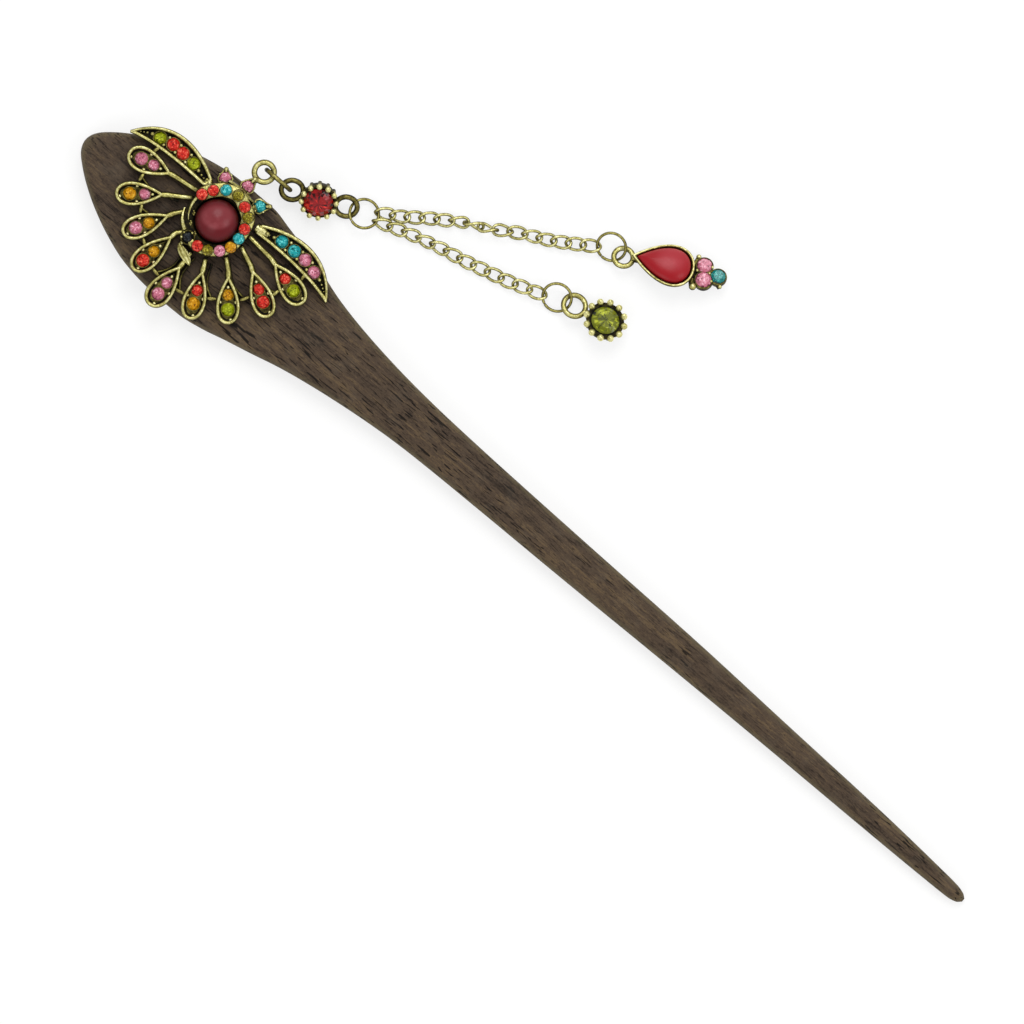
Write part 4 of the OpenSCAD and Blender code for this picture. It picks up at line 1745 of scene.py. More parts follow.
    def beak(self) -> Piece:
        """Models the beak leaf: a pointed blade with a ridge along its middle, and a neck to the head.

        Returns:
            Both, joined.
        """
        at = self.eye

        def blade(share: float) -> list[Vector]:
            """The leaf's outline, with a share of its width: the lower edge, then the upper one back."""
            lower_side, upper_side = [], []
            for k in range(15):
                t = k / 14
                upper = at + bezier((-0.50, -1.45), (0.4, -1.35), (2.6, -1.45), (3.08, -3.15), t)
                lower = at + bezier((-0.50, -1.45), (-0.45, -2.75), (1.4, -3.4), (3.08, -3.20), t)
                middle = (upper + lower) / 2
                lower_side.append(middle + (lower - middle) * share)
                upper_side.append(middle + (upper - middle) * share)
            return lower_side + upper_side[::-1]

        # share of the width, height, brightness
        profile = (
            (0.97, CAST_Z, 0.0),
            (1.0, CAST_Z + 0.4, 0.2),
            (1.0, RIM_Z - 0.25, 0.55),
            (0.90, RIM_Z + 0.02, 1.0),
            (0.66, RIM_Z + 0.08, 0.95),
            (0.50, RIM_Z + 0.02, 0.68),
            (0.10, RIM_Z + 0.12, 1.0),
            (0.02, RIM_Z + 0.12, 1.0),
        )
        leaf = loft("beak", [level(blade(share), z, bright) for share, z, bright in profile])
        # along, across, width, height over the rim
        rows = ((-0.15, -0.7, 0.9, 0.3), (-0.2, -1.2, 0.8, 0.0), (-0.05, -1.7, 0.5, -0.1))
        neck = rail("neck", [(at + flat(x, y), width, RIM_Z + rise) for x, y, width, rise in rows])
        return join("beak", [leaf, neck])

    def trimmings(self) -> list[Piece]:
        """Models the fine rings round the stones, the clusters of small beads and the eye's claws.

        Returns:
            The pieces.
        """
        parts = []
        for angle, reach, _ in self.stones:
            at = polar(angle, reach * BODY_L / 2) + upright(BODY_Z - 0.04)
            parts.append(collar(at, self.stone_r + 0.07, 0.06, 0.30, 0.0))
        for angle, reach in self.clusters:
            middle = polar(angle, reach) + upright(BODY_Z - 0.40)
            for dx, dy, size in self.cluster_beads:
                parts.append(bead(middle + flat(dx, dy), size, bright=0.78))
        for angle in self.claws:
            claw = self.eye + self.claw_reach * toward(angle)
            parts.append(bead(claw + upright(BODY_Z - 0.05), self.claw_r))
        return parts

    def build(self) -> None:
        """Models, dresses and sets the body."""
        parts = [self.ring(), self.horseshoe(), self.crescent(), self.head(), self.beak()]
        self.looks.cast(join("body_ring", parts + self.trimmings()), "body_ring", "peacock_setting")
        for k, (angle, reach, colour) in enumerate(self.stones, 1):
            at = polar(angle, reach * BODY_L / 2) + upright(RIM_Z + STONE_RISE)
            self.setter.set(f"set_body_stone_{k}", "body_stones", colour, at, self.over_size * self.stone_r)
        at = self.eye + upright(RIM_Z + STONE_RISE)
        self.setter.set("set_eye_stone", "eye_stone", StoneColour.JET, at, self.eye_r)
        self.dome()
        log.info("body: %d stones", len(self.stones))

    def dome(self) -> None:
        """Models and dresses the opaque dome in the middle of the ring."""
        steps = self.dome_steps
        ball = (CABOCHON_R**2 + self.dome_h**2) / (2 * self.dome_h)
        edge = math.asin(CABOCHON_R / ball)
        profile = [(CABOCHON_R, self.dome_foot, 1.0), (CABOCHON_R, BODY_Z, 1.0)]
        for k in range(1, steps + 1):
            turn = edge * (1 - k / steps) if k < steps else edge * 0.015
            profile.append((ball * math.sin(turn), BODY_Z + self.dome_h - ball + ball * math.cos(turn), 1.0))
        piece = lathe("dome", profile, 64, BODY_CENTRE)
        heart(piece, BODY_CENTRE + flat(-0.30, 0.42), 1.45, 2.15, 40.9, 1.3)
        smooth(piece, PLAIN_ANGLE)
        hand_in(piece, "burgundy_dome", self.looks.burgundy, "burgundy_cabochon", "cabochon")


@dataclass
class Crown(Part):
    """The three crown points and the cast loop that the chain hangs from."""

    stone_r: float = 0.92
    wall: float = 0.34
    tip_r: float = 0.40
    claws: tuple[float, ...] = (60, 135, 180, 225, 300)
    claw_r: float = 0.17
    loop_at: Row = (-0.7, 14.35, CAST_Z + 0.5)
    loop_r: float = 1.53
    loop_wire: float = 0.45
    knob: Row = (-0.95, 12.6, 4.95)
    knob_r: float = 0.48
    # angle, reach share, lean of the tip, its length, colour
    points: tuple[tuple[float, float, float, float, StoneColour], ...] = (
        (119.7, 1.14, 125, 1.35, StoneColour.PINK),
        (89.0, 1.20, 86, 1.60, StoneColour.PINK),
        (59.5, 1.18, 40, 1.55, StoneColour.AQUA),
    )
    # angle, reach and width of the bar along the points' feet
    bar: tuple[Row, ...] = (
        *((114, 6.5, 0.6), (104, 6.28, 0.75), (92, 6.12, 0.7)),
        *((80, 6.1, 0.65), (69, 6.3, 0.45)),
    )

    def pear(self, tip: float, inset: float) -> list[Vector]:
        """Outline of a point's cup: a round end at the stone and a small round end at the tip.

        Args:
            tip: length from the stone to the tip.
            inset: how far the outline is drawn in.

        Returns:
            The points.
        """
        big, small = self.stone_r + self.wall - inset, max(self.tip_r - inset, 0.06)
        reach = tip - 0.55 * inset

        def arc(radius: float, middle: float, start: float, end: float, count: int) -> list[Vector]:
            """Points round a middle on the axis, from one angle to another in degrees."""
            angles = [math.radians(start + (end - start) * k / (count - 1)) for k in range(count)]
            return [Vector((middle + radius * math.cos(a), radius * math.sin(a), 0)) for a in angles]

        return arc(big, 0.0, 90, 270, 17) + arc(small, reach, -90, 90, 9)

    def point(self, at: Vector, foot: Vector, lean: float, tip: float) -> Piece:
        """Models one point: a pear-shaped cup round the stone, a ridged tip with a bead, and a foot.

        Args:
            at: the stone's place.
            foot: where the point grows from the body.
            lean: the way that its tip looks, in degrees.
            tip: length from the stone to the tip.

        Returns:
            The point.
        """
        # inset, height, brightness
        profile = (
            (0.03, CAST_Z, 0.0),
            (0.0, CAST_Z + 0.3, 0.2),
            (0.0, RIM_Z - 0.90, 0.35),
            (0.06, RIM_Z - 0.70, 0.85),
            (0.20, RIM_Z - 0.68, 0.85),
            (0.29, RIM_Z - 0.80, 0.3),
            (0.31, FLOOR_Z - 0.1, 0.0),
        )
        cup = loft("cup", [level(self.pear(tip, inset), z, bright) for inset, z, bright in profile])
        # along, width, height over the rim
        table = (
            (self.stone_r * 1.02, 0.5, -0.25),
            ((self.stone_r + tip) / 2, 0.62, -0.1),
            (tip, 0.5, -0.15),
            (tip + 0.3, 0.2, -0.4),
        )
        rows = [(flat(x, 0), width, RIM_Z + rise) for x, width, rise in table]
        ridge = rail("ridge", rows, low=CAST_Z + 0.2)
        parts = [cup, ridge, bead(Vector((tip + 0.02, 0, RIM_Z - 0.3)), 0.3)]
        for angle in self.claws:
            where = (self.stone_r + 0.1) * toward(angle)
            parts.append(bead(where + upright(FLOOR_Z + 0.3), self.claw_r))
        piece = join("point", parts)
        carry(piece, Matrix.Translation(at) @ Matrix.Rotation(math.radians(lean), 4, "Z"))
        rows = [(at.lerp(foot, t), width, RIM_Z - 0.45) for t, width in ((0.2, 1.4), (0.6, 1.5), (1.0, 1.5))]
        return join("point", [piece, rail("foot", rows, bright=0.6)])

    def build(self) -> None:
        """Models, dresses and sets the crown."""
        parts = []
        for number, (angle, reach, lean, tip, colour) in enumerate(self.points, 1):
            at = polar(angle, reach * BODY_L / 2)
            parts.append(self.point(at, polar(angle, 0.8 * BODY_L / 2), lean, tip))
            node = f"crown_stone_{number}"
            at.z = SEAT_Z + STONE_RISE
            self.setter.set(f"set_{node}", node, colour, at, self.stone_r)
        loop = round_hoop("loop", self.loop_r, self.loop_wire, 56, 14)
        carry(loop, Matrix.Translation(self.loop_at))
        shade_by_facing(loop, 0.15, 1.0)
        angle, reach, _, tip, _ = self.points[1]
        start = polar(angle, reach * BODY_L / 2) + flat(0, tip)
        end = flat(self.loop_at[0], self.loop_at[1] - self.loop_r)
        rows = [(start, 1.1, 4.92), (start.lerp(end, 0.5), 1.0, 4.98), (end, 1.15, 4.95)]
        neck = rail("neck", rows, low=4.2)
        rows = [(polar(angle, reach), width, RIM_Z + 0.1) for angle, reach, width in self.bar]
        parts.append(rail("bar", rows, bright=0.85))
        parts.append(bead(Vector(self.knob), self.knob_r, bright=0.85))
        self.looks.cast(join("crown", [*parts, loop, neck]), "crown", "peacock_setting")
        log.info("crown: %d points", len(self.points))


@dataclass
class Webs(Part):
    """The dark bridges between neighbouring feathers and the thin webs that run in from them."""

    # from this bridge on, the webs bend and lean the other way
    turn_at: int = 5
    web_w: float = 0.42
    web_top: float = 5.3
    web_end: float = 0.56
    # along, width and height of a bridge
    bridge: tuple[Row, ...] = ((-0.75, 0.5, 5.35), (-0.3, 0.72, 5.6), (0.3, 0.72, 5.6), (0.75, 0.5, 5.35))
    # how a web's shine fades from the bridge inwards
    fade: tuple[float, ...] = (1.0, 1.0, 0.95, 0.85, 0.7, 0.55, 0.45, 0.35, 0.25)
    # angle, reach as a share of the fan's
    bridges: tuple[Flat, ...] = (
        (171, 1.61),
        (190.5, 1.50),
        (211, 1.32),
        (237.5, 1.30),
        (261, 1.37),
        (283, 1.37),
        (307, 1.34),
        (330.5, 1.42),
        (350, 1.60),
        (368, 1.77),
    )

    def web(self, angle: float, middle: Vector, lean: float) -> Piece:
        """Models a web, bowed from a bridge in towards the body.

        Args:
            angle: the bridge's angle round the body.
            middle: the bridge's middle.
            lean: 1 or -1, the side that it bows to.

        Returns:
            The web.
        """
        end = polar(angle + 3 * lean, self.web_end * BODY_L)
        bow = middle.lerp(end, 0.4) + toward(angle + 90) * lean
        steps = len(self.fade) - 1
        path = [bezier(middle.xy, bow.xy, bow.xy, end.xy, k / steps) for k in range(steps + 1)]
        rows = [(at, self.web_w, self.web_top, share) for at, share in zip(path, self.fade)]
        return rail("web", rows, bright=0.58)

    def build(self) -> None:
        """Models and dresses the bridges and webs as one piece."""
        parts = []
        for k, (angle, reach) in enumerate(self.bridges):
            middle = polar(angle, reach * FAN_R)
            rows = [(middle + toward(angle + 90) * along, width, top) for along, width, top in self.bridge]
            parts.append(rail("bridge", rows, bright=0.75))
            if 0 < k < len(self.bridges) - 1:
                parts.append(self.web(angle, middle, 1.0 if k < self.turn_at else -1.0))
        self.looks.cast(join("webs", parts), "webs", "peacock_setting")
        log.info("webs: %d bridges", len(self.bridges))


# The chain


@dataclass
class JumpRings(Part):
    """The four wire rings, each bent round with a fine gap between its ends."""

    half_gap: float = 0.8
    steps: int = 60
    soft_end: float = 0.82
    # node, centre, turns about X and Y, radius of the middle line, wire, angle of the gap
    rings: tuple[tuple[str, Row, Flat, float, float, float], ...] = (
        ("crown_ring", (1.72, 14.9, 3.6), (90, 0), 2.4, 0.36, 200),
        ("fork_ring", (15.15, 19.65, 1.1), (-12, 0), 2.27, 0.23, 250),
        ("drop_ring", (47.5, 40.85, 1.36), (22.3, 4.3), 2.27, 0.23, 265),
        ("round_ring", (46.25, 29.4, 1.27), (21, 4.35), 2.27, 0.23, 250),
    )

    def ring(self, name: str, radius: float, wire: float, gap: float) -> Piece:
        """Models a ring as a wire led round, with softened ends.

        Args:
            name: name of the piece.
            radius: radius of its middle line.
            wire: radius of the wire.
            gap: angle of the gap between its ends.

        Returns:
            The ring, flat round the origin.
        """
        rings = []
        for k in range(self.steps + 1):
            out = toward(gap + self.half_gap + (360 - 2 * self.half_gap) * k / self.steps)
            fine = wire * (self.soft_end if k in (0, self.steps) else 1.0)
            section = [(fine * math.cos(a), fine * math.sin(a)) for a in turns(12)]
            rings.append(Ring([out * (radius + across) + upright(up) for across, up in section]))
        return loft(name, rings)

    def build(self) -> None:
        """Models and dresses the four rings."""
        for node, at, turn, radius, wire, gap in self.rings:
            piece = self.ring(node, radius, wire, gap)
            carry(piece, Matrix.Translation(at) @ turned(*turn, 0))
            shade_by_facing(piece, 0.15, 0.82)
            self.looks.cast(piece, f"wire_{node}", node)
        log.info("jump rings: %d", len(self.rings))


@dataclass
class Chain(Part):
    """A fine chain of twisted oval links along a route; each link has a roll and a lift."""

    node: str
    route: tuple[Flat, ...]
    links: tuple[Flat, ...]
    long: float = 3.52
    wide: float = 2.24
    wire: float = 0.2
    # how much stouter the wire looks than the part's
    plating: float = 0.035
    twist: float = -42.0
    blunt: float = 0.75

    def line(self, t: float, roll: float) -> Vector:
        """A link's middle line.

        Args:
            t: angle round the link.
            roll: the link's roll about the chain, in degrees.

        Returns:
            The point, in the link's own place along +X.
        """
        c = math.cos(t)
        along = math.copysign(abs(c) ** self.blunt, c)
        across = (self.wide / 2 - self.wire) * math.sin(t)
        turn = math.radians(self.twist * along + roll)
        return Vector(((self.long / 2 - self.wire) * along, across * math.cos(turn), across * math.sin(turn)))

    def rest(self, roll: float) -> float:
        """Height of a rolled link's middle when it lies on the surface."""
        return self.wire + self.plating + max(self.line(a, roll).z for a in turns(36))

    def places(self) -> list[Vector]:
        """Places the links evenly along the route.

        Returns:
            The links' middles.
        """
        lengths = [math.dist(a, b) for a, b in zip(self.route, self.route[1:])]
        total, count = sum(lengths), len(self.links)
        found = []
        for i in range(count):
            left = total * i / (count - 1)
            k = 0
            while k < len(lengths) - 1 and left > lengths[k]:
                left -= lengths[k]
                k += 1
            found.append(Vector(self.route[k]).lerp(Vector(self.route[k + 1]), left / lengths[k]).to_3d())
        return found

    def build(self) -> None:
        """Models and dresses the chain as one piece."""
        middles = self.places()
        last = len(middles) - 1
        parts = []
        for i, (roll, lift) in enumerate(self.links):
            piece = hoop("link", lambda t, roll=roll: self.line(t, roll), self.wire + self.plating, 40, 10)
            way = middles[min(i + 1, last)] - middles[max(i - 1, 0)]
            at = middles[i] + Vector((0, 0, self.rest(roll) + lift))
            carry(piece, Matrix.Translation(at) @ Matrix.Rotation(math.atan2(way.y, way.x), 4, "Z"))
            shade_by_facing(piece, 0.22, 1.12)
            parts.append(piece)
        self.looks.cast(join(self.node, parts), f"links_{self.node}", self.node)
        log.info("%s: %d links", self.node, len(self.links))


@dataclass
class LongChain(Chain):
    """The chain that carries the drop pendant."""

    node: str = "long_chain"
    route: tuple[Flat, ...] = (
        *((17.6, 21.77), (20, 23.2), (23.4, 25.8), (27.5, 28.6), (31.2, 30.5)),
        *((35.4, 33.2), (39.3, 35.2), (41.6, 36.6), (44.94, 38.86)),
    )
    links: tuple[Flat, ...] = (
        *((24, 0.03), (22, 0), (10, 0.19), (16, 0), (14, 0), (42, 0), (78, 0), (118, 0)),
        *((152, 0), (180, 0), (209, 0), (199, 0.08), (194, 0.19), (185, 0.27), (175, 0.32)),
    )


@dataclass
class ShortChain(Chain):
    """The chain that carries the round pendant."""

    node: str = "short_chain"
    route: tuple[Flat, ...] = (
        *((18.33, 20.28), (21.9, 21.7), (26.9, 23.2), (31.7, 24.3), (38.5, 26.2), (43.37, 27.92)),
    )
    links: tuple[Flat, ...] = (
        *((40, 0.18), (24, 0.33), (30, 0.2), (37, 0), (31, 0), (25, 0)),
        *((19, 0), (13, 0.04), (7, 0.05), (0, 0.1), (-9, 0.06), (-2, 0.38)),
    )


# Cups and pendants


@dataclass(frozen=True)
class ProngedCup:
    """A round cup with a ring of leaning ball-tipped prongs round a cut stone."""

    stone_r: float
    high: float
    base: float
    wall: float = 0.45
    prong_r: float = 0.37
    prongs: int = 12
    lean: float = 13.0
    foot: float = -0.02
    ball: float = 1.0
    sides: int = 48
    prong_sides: int = 14

    @property
    def seat(self) -> float:
        """Height of the stone's seat."""
        return 0.3 * self.high - self.base

    @property
    def girdle(self) -> float:
        """Height of the stone's girdle."""
        return self.seat + 0.1 + 0.35 * self.high

    @property
    def cut(self) -> tuple[float, int, float, float]:
        """The stone's radius, sides, crown and pavilion."""
        return (self.stone_r, 24, 0.3 * self.stone_r, 0.35 * self.high)

    def build(self) -> Piece:
        """Models the cup: a tapered wall with a black well, and the prongs.

        Returns:
            The cup.
        """
        r, top = self.stone_r + self.wall, 0.72 * self.high - self.base
        # radius, height, brightness
        profile = (
            (0.80 * r, -self.base, 0.1),
            (0.86 * r, -self.base + 0.08, 0.25),
            (0.94 * r, (top - self.base) / 2, 0.12),
            (r - 0.02, top - 0.12, 0.35),
            (r - 0.1, top, 0.3),
            (self.stone_r + 0.14, top - 0.02, 0.1),
            (self.stone_r + 0.1, self.seat + 0.02, 0.0),
        )
        parts = [lathe("cup", profile, self.sides)]
        prong = self.prong()
        for k in range(self.prongs):
            piece = prong if k == self.prongs - 1 else twin(prong)
            carry(piece, Matrix.Rotation(math.tau * (k + 0.5) / self.prongs, 4, "Z"))
            parts.append(piece)
        return join("cup", parts)

    def prong(self) -> Piece:
        """Models one prong on +X: a tapered pin with a ball on its end.

        Returns:
            The prong.
        """
        r, high = self.prong_r, self.high
        ball = self.ball * 1.02 * r
        # radius, height, brightness: darker at the foot, partly patina and partly painted shade, up to a
        # painted highlight on the ball
        profile = (
            (0.75 * r, 0.0, 0.1),
            (0.9 * r, 0.12, 0.3),
            (0.86 * r, 0.35 * high, 0.4),
            (0.88 * r, 0.60 * high, 0.72),
            (0.98 * r, 0.72 * high, 0.9),
            (0.92 * ball, high - 1.50 * ball, 0.85),
            (ball, high - 1.05 * ball, 0.95),
            (0.84 * ball, high - 0.50 * ball, 1.0),
            (0.50 * ball, high - 0.18 * ball, 1.0),
            (0.12 * ball, high, 1.0),
        )
        piece = lathe("prong", profile, self.prong_sides)
        foot = Matrix.Translation((self.stone_r + self.foot, 0, -self.base + 0.1))
        carry(piece, foot @ Matrix.Rotation(math.radians(self.lean), 4, "Y"))
        return piece


@dataclass
class Connector(Part):
    """The round ruby-coloured link between the crown ring and the fork ring, with a loop at each side."""

    at: Row = (8.5, 16.65, 2.35)
    turn: Row = (28, 6, 23.9)
    loop_x: float = 4.4
    loop_r: float = 1.7
    loop_drop: float = 0.6
    wire: float = 0.42
    # the stone sits a little low in its prongs, and its upper side gets painted shade
    stone_shift: float = -0.18
    stone_shade: float = 0.45
    cup: ProngedCup = ProngedCup(2.25, 2.5, 1.25, wall=0.64, lean=6.0, foot=0.24, ball=1.20)

    def build(self) -> None:
        """Models, dresses and sets the connector."""
        place = Matrix.Translation(self.at) @ turned(*self.turn)
        cup = self.cup.build()
        carry(cup, place)
        parts = [cup]
        for side in (-1, 1):
            at = place @ Matrix.Translation((side * self.loop_x, 0, -self.loop_drop))
            parts.append(eyelet(self.loop_r, self.wire, at, 0.0, 0.66))
        self.looks.cast(join("connector", parts), "connector_cup", "connector_setting")
        at = Vector((0, self.stone_shift, self.cup.girdle))
        cut = self.cup.cut
        piece, colour = "ruby_stone_set", StoneColour.RUBY
        self.setter.set(piece, "connector_stone", colour, at, *cut, place, self.stone_shade)
        log.info("connector: %d prongs", self.cup.prongs)


@dataclass
class RoundPendant(Part):
    """The round pendant at the end of the short chain."""

    at: Row = (49.15, 30.2, 1.22)
    turn: Row = (-22.6, 0, 9)
    loop_r: float = 1.75
    wire: float = 0.42
    cup_x: float = 5.25
    # along, width, height
    neck: tuple[Row, ...] = ((1.75, 1.0, 0.38), (2.4, 1.05, 0.4), (3.3, 1.1, 0.45))
    cup: ProngedCup = ProngedCup(2.15, 2.3, 0.15, wall=0.88, lean=19.0, foot=0.34, ball=1.42)

    def build(self) -> None:
        """Models, dresses and sets the pendant."""
        place = Matrix.Translation(self.at) @ turned(*self.turn)
        cup = self.cup.build()
        carry(cup, Matrix.Translation((self.cup_x, 0, 0)))
        rows = [(flat(x, 0), width, top) for x, width, top in self.neck]
        body = join("pendant", [cup, rail("neck", rows, low=0.0, bright=0.7)])
        carry(body, place)
        loop = eyelet(self.loop_r, self.wire, place, 0.15, 0.95)
        self.looks.cast(join("pendant", [body, loop]), "round_pendant_cup", "round_setting")
        at = Vector((self.cup_x, 0, self.cup.girdle))
        self.setter.set("olive_stone_set", "round_stone", StoneColour.OLIVE, at, *self.cup.cut, place)
        log.info("round pendant: %d prongs", self.cup.prongs)


@dataclass
class DropPendant(Part):
    """The drop pendant: a walled drop with a crimson dome, and a cluster of three stones at its end."""

    at: Row = (49.95, 40.85, 1.2)
    turn: Row = (-22, 0, 26.2)
    loop_r: float = 1.5
    wire: float = 0.42
    overlap: float = 0.4
    long: float = 10.1
    wide: float = 7.05
    rim: float = 0.54
    point: float = 1.55
    taper: float = 0.7
    lift: float = 0.12
    floor: float = 0.52
    high: float = 2.02
    dome_long: float = 8.45
    dome_wide: float = 5.6
    dome_x: float = 2.05
    dome_foot: float = 0.62
    dome_waist: float = 1.82
    dome_h: float = 1.2
    dome_steps: int = 12
    # the middle that it is drawn in to, as a share of the length from its point
    dome_middle: float = 0.6
    # its painted highlight: share of the length, and distance across
    dome_heart: Flat = (0.63, 0.80)
    girdle: float = 1.12
    # along, across, radius, colour
    cluster: tuple[tuple[float, float, float, StoneColour], ...] = (
        (12.5, 1.62, 1.17, StoneColour.PINK),
        (12.9, -0.75, 1.24, StoneColour.PINK),
        (14.95, 0.4, 1.147, StoneColour.TEAL),
    )
    # along, across, radius
    beads: tuple[Row, ...] = ((11.3, 2.85, 0.42), (11.5, -2.2, 0.58), (15.6, -1.1, 0.32))
    claws: tuple[Row, ...] = (
        *((11.55, 0.45, 0.26), (13.75, 1.55, 0.24)),
        *((14.1, -0.75, 0.24), (13.55, 0.45, 0.2)),
    )
    # along, across, width, height
    bridge: tuple[Wide, ...] = (
        (10.6, 0.2, 3.2, 0.9),
        (11.5, 0.35, 4.0, 0.95),
        (12.4, 0.45, 3.6, 0.9),
        (13.6, 0.4, 1.6, 0.9),
    )
    # along from the loop's middle line, width, height
    neck: tuple[Row, ...] = ((-0.15, 0.9, 0.5), (0.7, 0.9, 0.75), (1.5, 0.7, 0.8))

    def tray(self, start: Vector) -> Piece:
        """Models the walled drop.

        Args:
            start: the place of its point.

        Returns:
            The drop.
        """
        return Tray(
            lambda inset: [p + start for p in inner_drop(self.long, self.wide, inset, self.point)],
            rim=self.rim,
            bottom=self.lift,
            floor=self.floor,
            top=self.high,
            floor_bright=0.0,
            taper=self.taper,
        ).build("drop")

    def seat(self, x: float, y: float, radius: float) -> Piece:
        """Models the cup of a small stone.

        Args:
            x: its place along the pendant.
            y: its place across it.
            radius: the stone's radius.

        Returns:
            The cup.
        """
        profile = (
            (radius + 0.2, self.lift, 0.05),
            (radius + 0.27, self.lift + 0.3, 0.2),
            (radius + 0.27, 1.0, 0.35),
            (radius + 0.2, 1.22, 0.6),
            (radius + 0.08, 1.25, 0.35),
            (radius - 0.1, 1.1, 0.0),
        )
        piece = lathe("cup", profile, 28)
        carry(piece, Matrix.Translation((x, y, 0)))
        return piece

    def setting(self) -> list[Piece]:
        """Models the metal of the pendant, in its own plane.

        Returns:
            The pieces.
        """
        start = flat(self.loop_r - self.overlap, 0)
        parts = [self.tray(start), *(self.seat(x, y, radius) for x, y, radius, _ in self.cluster)]
        for x, y, radius in self.beads:
            at, end = flat(x, y), start + Vector((self.long - 0.6 + 0.9 * (x - 11), 0.4 * y, 0))
            width = 1.7 * radius
            rows = [(at, width, 1.0), (at.lerp(end, 0.5), width, 0.95), (end, width, 0.95)]
            parts.append(rail("arm", rows, low=self.lift, bright=0.5))
            parts.append(bead(Vector((x, y, 0.95)), radius))
        parts += [bead(Vector((x, y, 1.35)), size) for x, y, size in self.claws]
        rows = [(flat(x, y), width, top) for x, y, width, top in self.bridge]
        parts.append(rail("bridge", rows, low=self.lift, bright=0.16))
        rows = [(flat(self.loop_r + x, 0), width, top) for x, width, top in self.neck]
        parts.append(rail("neck", rows, low=self.lift, bright=0.7))
        return parts

    def dome(self) -> Piece:
        """Models the drop-shaped dome, in the pendant's plane.

        Returns:
            The dome.
        """
        base = drop_outline(self.dome_long, self.dome_wide)
        middle = self.dome_middle * self.dome_long
        rings = [level(base, self.dome_foot)]
        for k in range(self.dome_steps + 1):
            turn = math.radians(88.5 * k / self.dome_steps)
            c, z = math.cos(turn), self.dome_waist + self.dome_h * math.sin(turn)
            rings.append(Ring([Vector((middle + (p.x - middle) * c, p.y * c, z)) for p in base]))
        piece = loft("dome", rings)
        along, across = self.dome_heart
        heart(piece, flat(along * self.dome_long, across), 0.9, 3.2)
        carry(piece, Matrix.Translation((self.dome_x, 0, 0)))
        return piece

    def build(self) -> None:
        """Models, dresses and sets the pendant."""
        place = Matrix.Translation(self.at) @ turned(*self.turn)
        body = join("drop", self.setting())
        carry(body, place)
        loop = eyelet(self.loop_r, self.wire, place, 0.15, 0.98)
        self.looks.cast(join("drop", [body, loop]), "drop_pendant_cup", "drop_setting")
        dome = self.dome()
        carry(dome, place)
        smooth(dome, PLAIN_ANGLE)
        hand_in(dome, "crimson_dome", self.looks.crimson, "crimson_cabochon", "drop_cabochon")
        for k, (x, y, radius, colour) in enumerate(self.cluster, 1):
            at = Vector((x, y, self.girdle))
            self.setter.set(f"set_drop_stone_{k}", "drop_stones", colour, at, radius, 16, 0.55, 0.5, place)
        log.info("drop pendant: %d stones", len(self.cluster))


# Studio


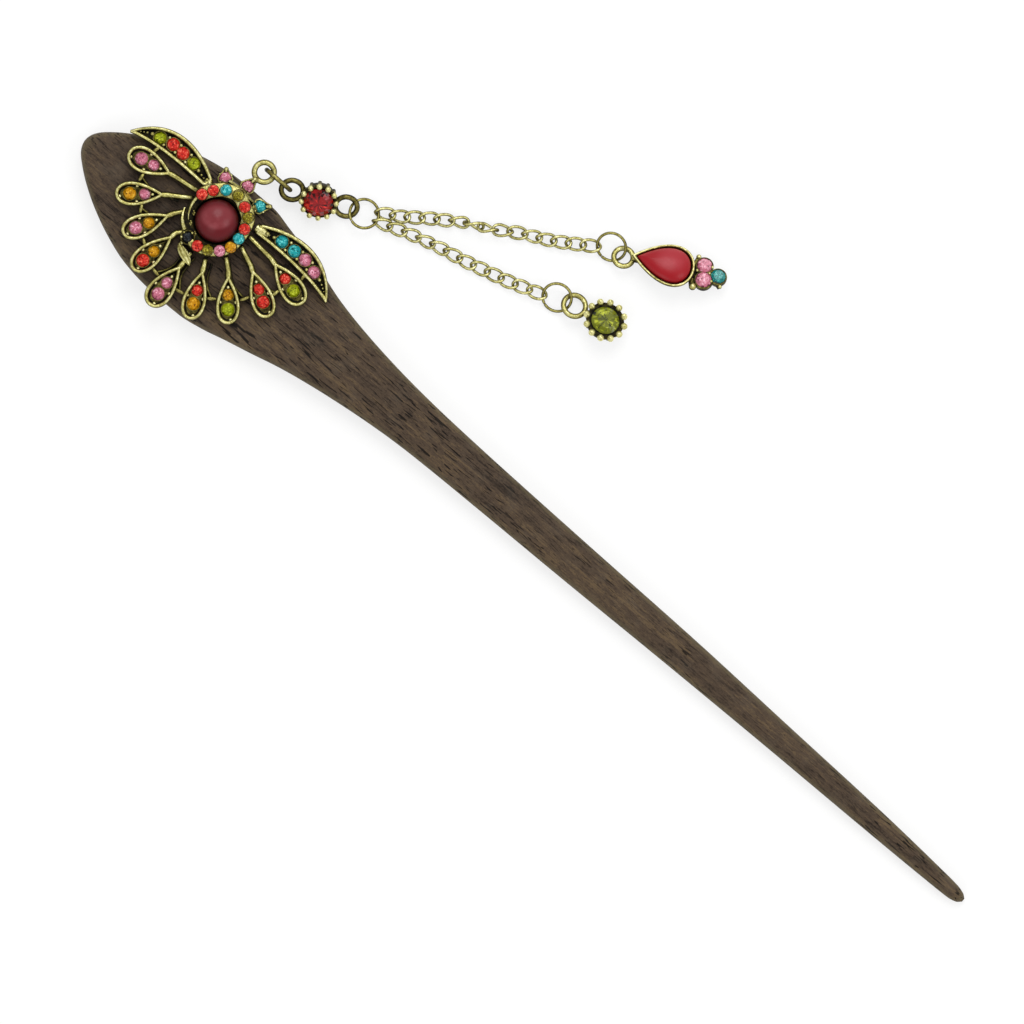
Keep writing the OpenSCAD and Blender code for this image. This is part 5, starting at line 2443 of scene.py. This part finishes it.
@dataclass
class Studio:
    """The pale floor, the soft lights and the camera that looks straight down."""

    look_x: float = 62.74
    look_y: float = -0.31
    view_w: float = 158.76
    distance: float = 4.0
    turn: float = 40.89
    sensor: float = 36.0
    floor_size: float = 4.0
    floor_glow: float = 0.73
    paper: tuple[str, str] = ("90908f", "949494")
    paper_grain: Grain = Grain(4.0, 2.0)
    # place in metres, size in metres, watts
    lamps: tuple[tuple[Row, float, float], ...] = (
        ((-0.35, 0.55, 0.85), 0.75, 5.0),
        ((0.65, 0.35, 0.70), 0.55, 1.8),
        ((0.10, -0.75, 0.75), 0.70, 1.5),
    )
    # heights of the way looked at, from 0 to 1 overhead, and the surround's strengths there
    sky_heights: Flat = (0.5, 0.95)
    sky_strengths: Flat = (0.74, 0.34)

    @property
    def centre(self) -> Vector:
        """The place that the camera and the lamps look at, in metres."""
        return flat(self.look_x * MM, self.look_y * MM)

    def floor(self) -> None:
        """Models and dresses a wide flat sheet under the object."""
        deselect()
        bpy.ops.mesh.primitive_grid_add(
            x_subdivisions=8, y_subdivisions=8, size=self.floor_size, location=(0, 0, 0)
        )
        sheet = bpy.context.active_object
        sheet.name = "floor"
        with editing(sheet):
            bpy.ops.mesh.select_all(action="SELECT")
            bpy.ops.transform.translate(value=(self.look_x * MM, self.look_y * MM, 0))
        paint = Paint("floor_paper")
        dark, light = self.paper
        paint.set(
            base_color=paint.mix(paint.noise(self.paper_grain), linear(dark), linear(light)),
            roughness=0.95,
            specular_ior_level=0.1,
            emission_color=(1.0, 1.0, 1.0, 1.0),
            emission_strength=self.floor_glow,
        )
        sheet.data.materials.append(paint.material)

    def lights(self) -> None:
        """Places soft lamps that look at the object."""
        for number, (at, size, watts) in enumerate(self.lamps, 1):
            lamp = bpy.data.lights.new(f"lamp_{number}", "AREA")
            lamp.shape, lamp.size, lamp.energy = "DISK", size, watts
            stand = bpy.data.objects.new(f"lamp_{number}", lamp)
            stand.location = at
            stand.rotation_euler = (self.centre - Vector(at)).to_track_quat("-Z", "Y").to_euler()
            bpy.context.collection.objects.link(stand)

    def surround(self) -> bpy.types.World:
        """Makes a white surround, a little darker straight overhead.

        Returns:
            The surround.
        """
        world = bpy.data.worlds.new("surround")
        world.use_nodes = True
        tree = world.node_tree
        back = tree.nodes["Background"]
        back.inputs[0].default_value = (1.0, 1.0, 1.0, 1.0)
        way = tree.nodes.new("ShaderNodeTexCoord")
        parts = tree.nodes.new("ShaderNodeSeparateXYZ")
        share = tree.nodes.new("ShaderNodeMapRange")
        share.inputs["From Min"].default_value, share.inputs["From Max"].default_value = self.sky_heights
        share.inputs["To Min"].default_value, share.inputs["To Max"].default_value = self.sky_strengths
        tree.links.new(way.outputs["Generated"], parts.inputs[0])
        tree.links.new(parts.outputs["Z"], share.inputs["Value"])
        tree.links.new(share.outputs[0], back.inputs[1])
        return world

    def camera(self) -> None:
        """Places a long lens straight over the object, turned as in the photograph."""
        data = bpy.data.cameras.new("camera")
        data.sensor_width = self.sensor
        data.lens = self.sensor * self.distance / (self.view_w * MM)
        data.clip_end = 10.0
        eye = bpy.data.objects.new("camera", data)
        eye.location = (*self.centre.xy, self.distance)
        eye.rotation_euler = (0.0, 0.0, math.radians(self.turn))
        bpy.context.collection.objects.link(eye)
        bpy.context.scene.camera = eye

    def build(self) -> None:
        """Sets up the studio."""
        self.camera()
        self.floor()
        self.lights()
        bpy.context.scene.world = self.surround()
        bpy.context.scene.view_settings.view_transform = "Standard"
        log.info("studio: %d lamps", len(self.lamps))


def main() -> None:
    """Builds the studio and each piece in order."""
    logging.basicConfig(level=logging.INFO, format="%(name)s: %(message)s")
    Studio().build()
    finishes = Finishes()
    stones = Stones(finishes)
    casting = (Fan, Wings, Body, Crown, Webs)
    hanging = (JumpRings, LongChain, ShortChain, Connector, RoundPendant, DropPendant)
    for kind in (Stick, *casting, *hanging):
        kind(finishes, stones).build()
    stones.clear()
    deselect()


if __name__ == "__main__":
    main()
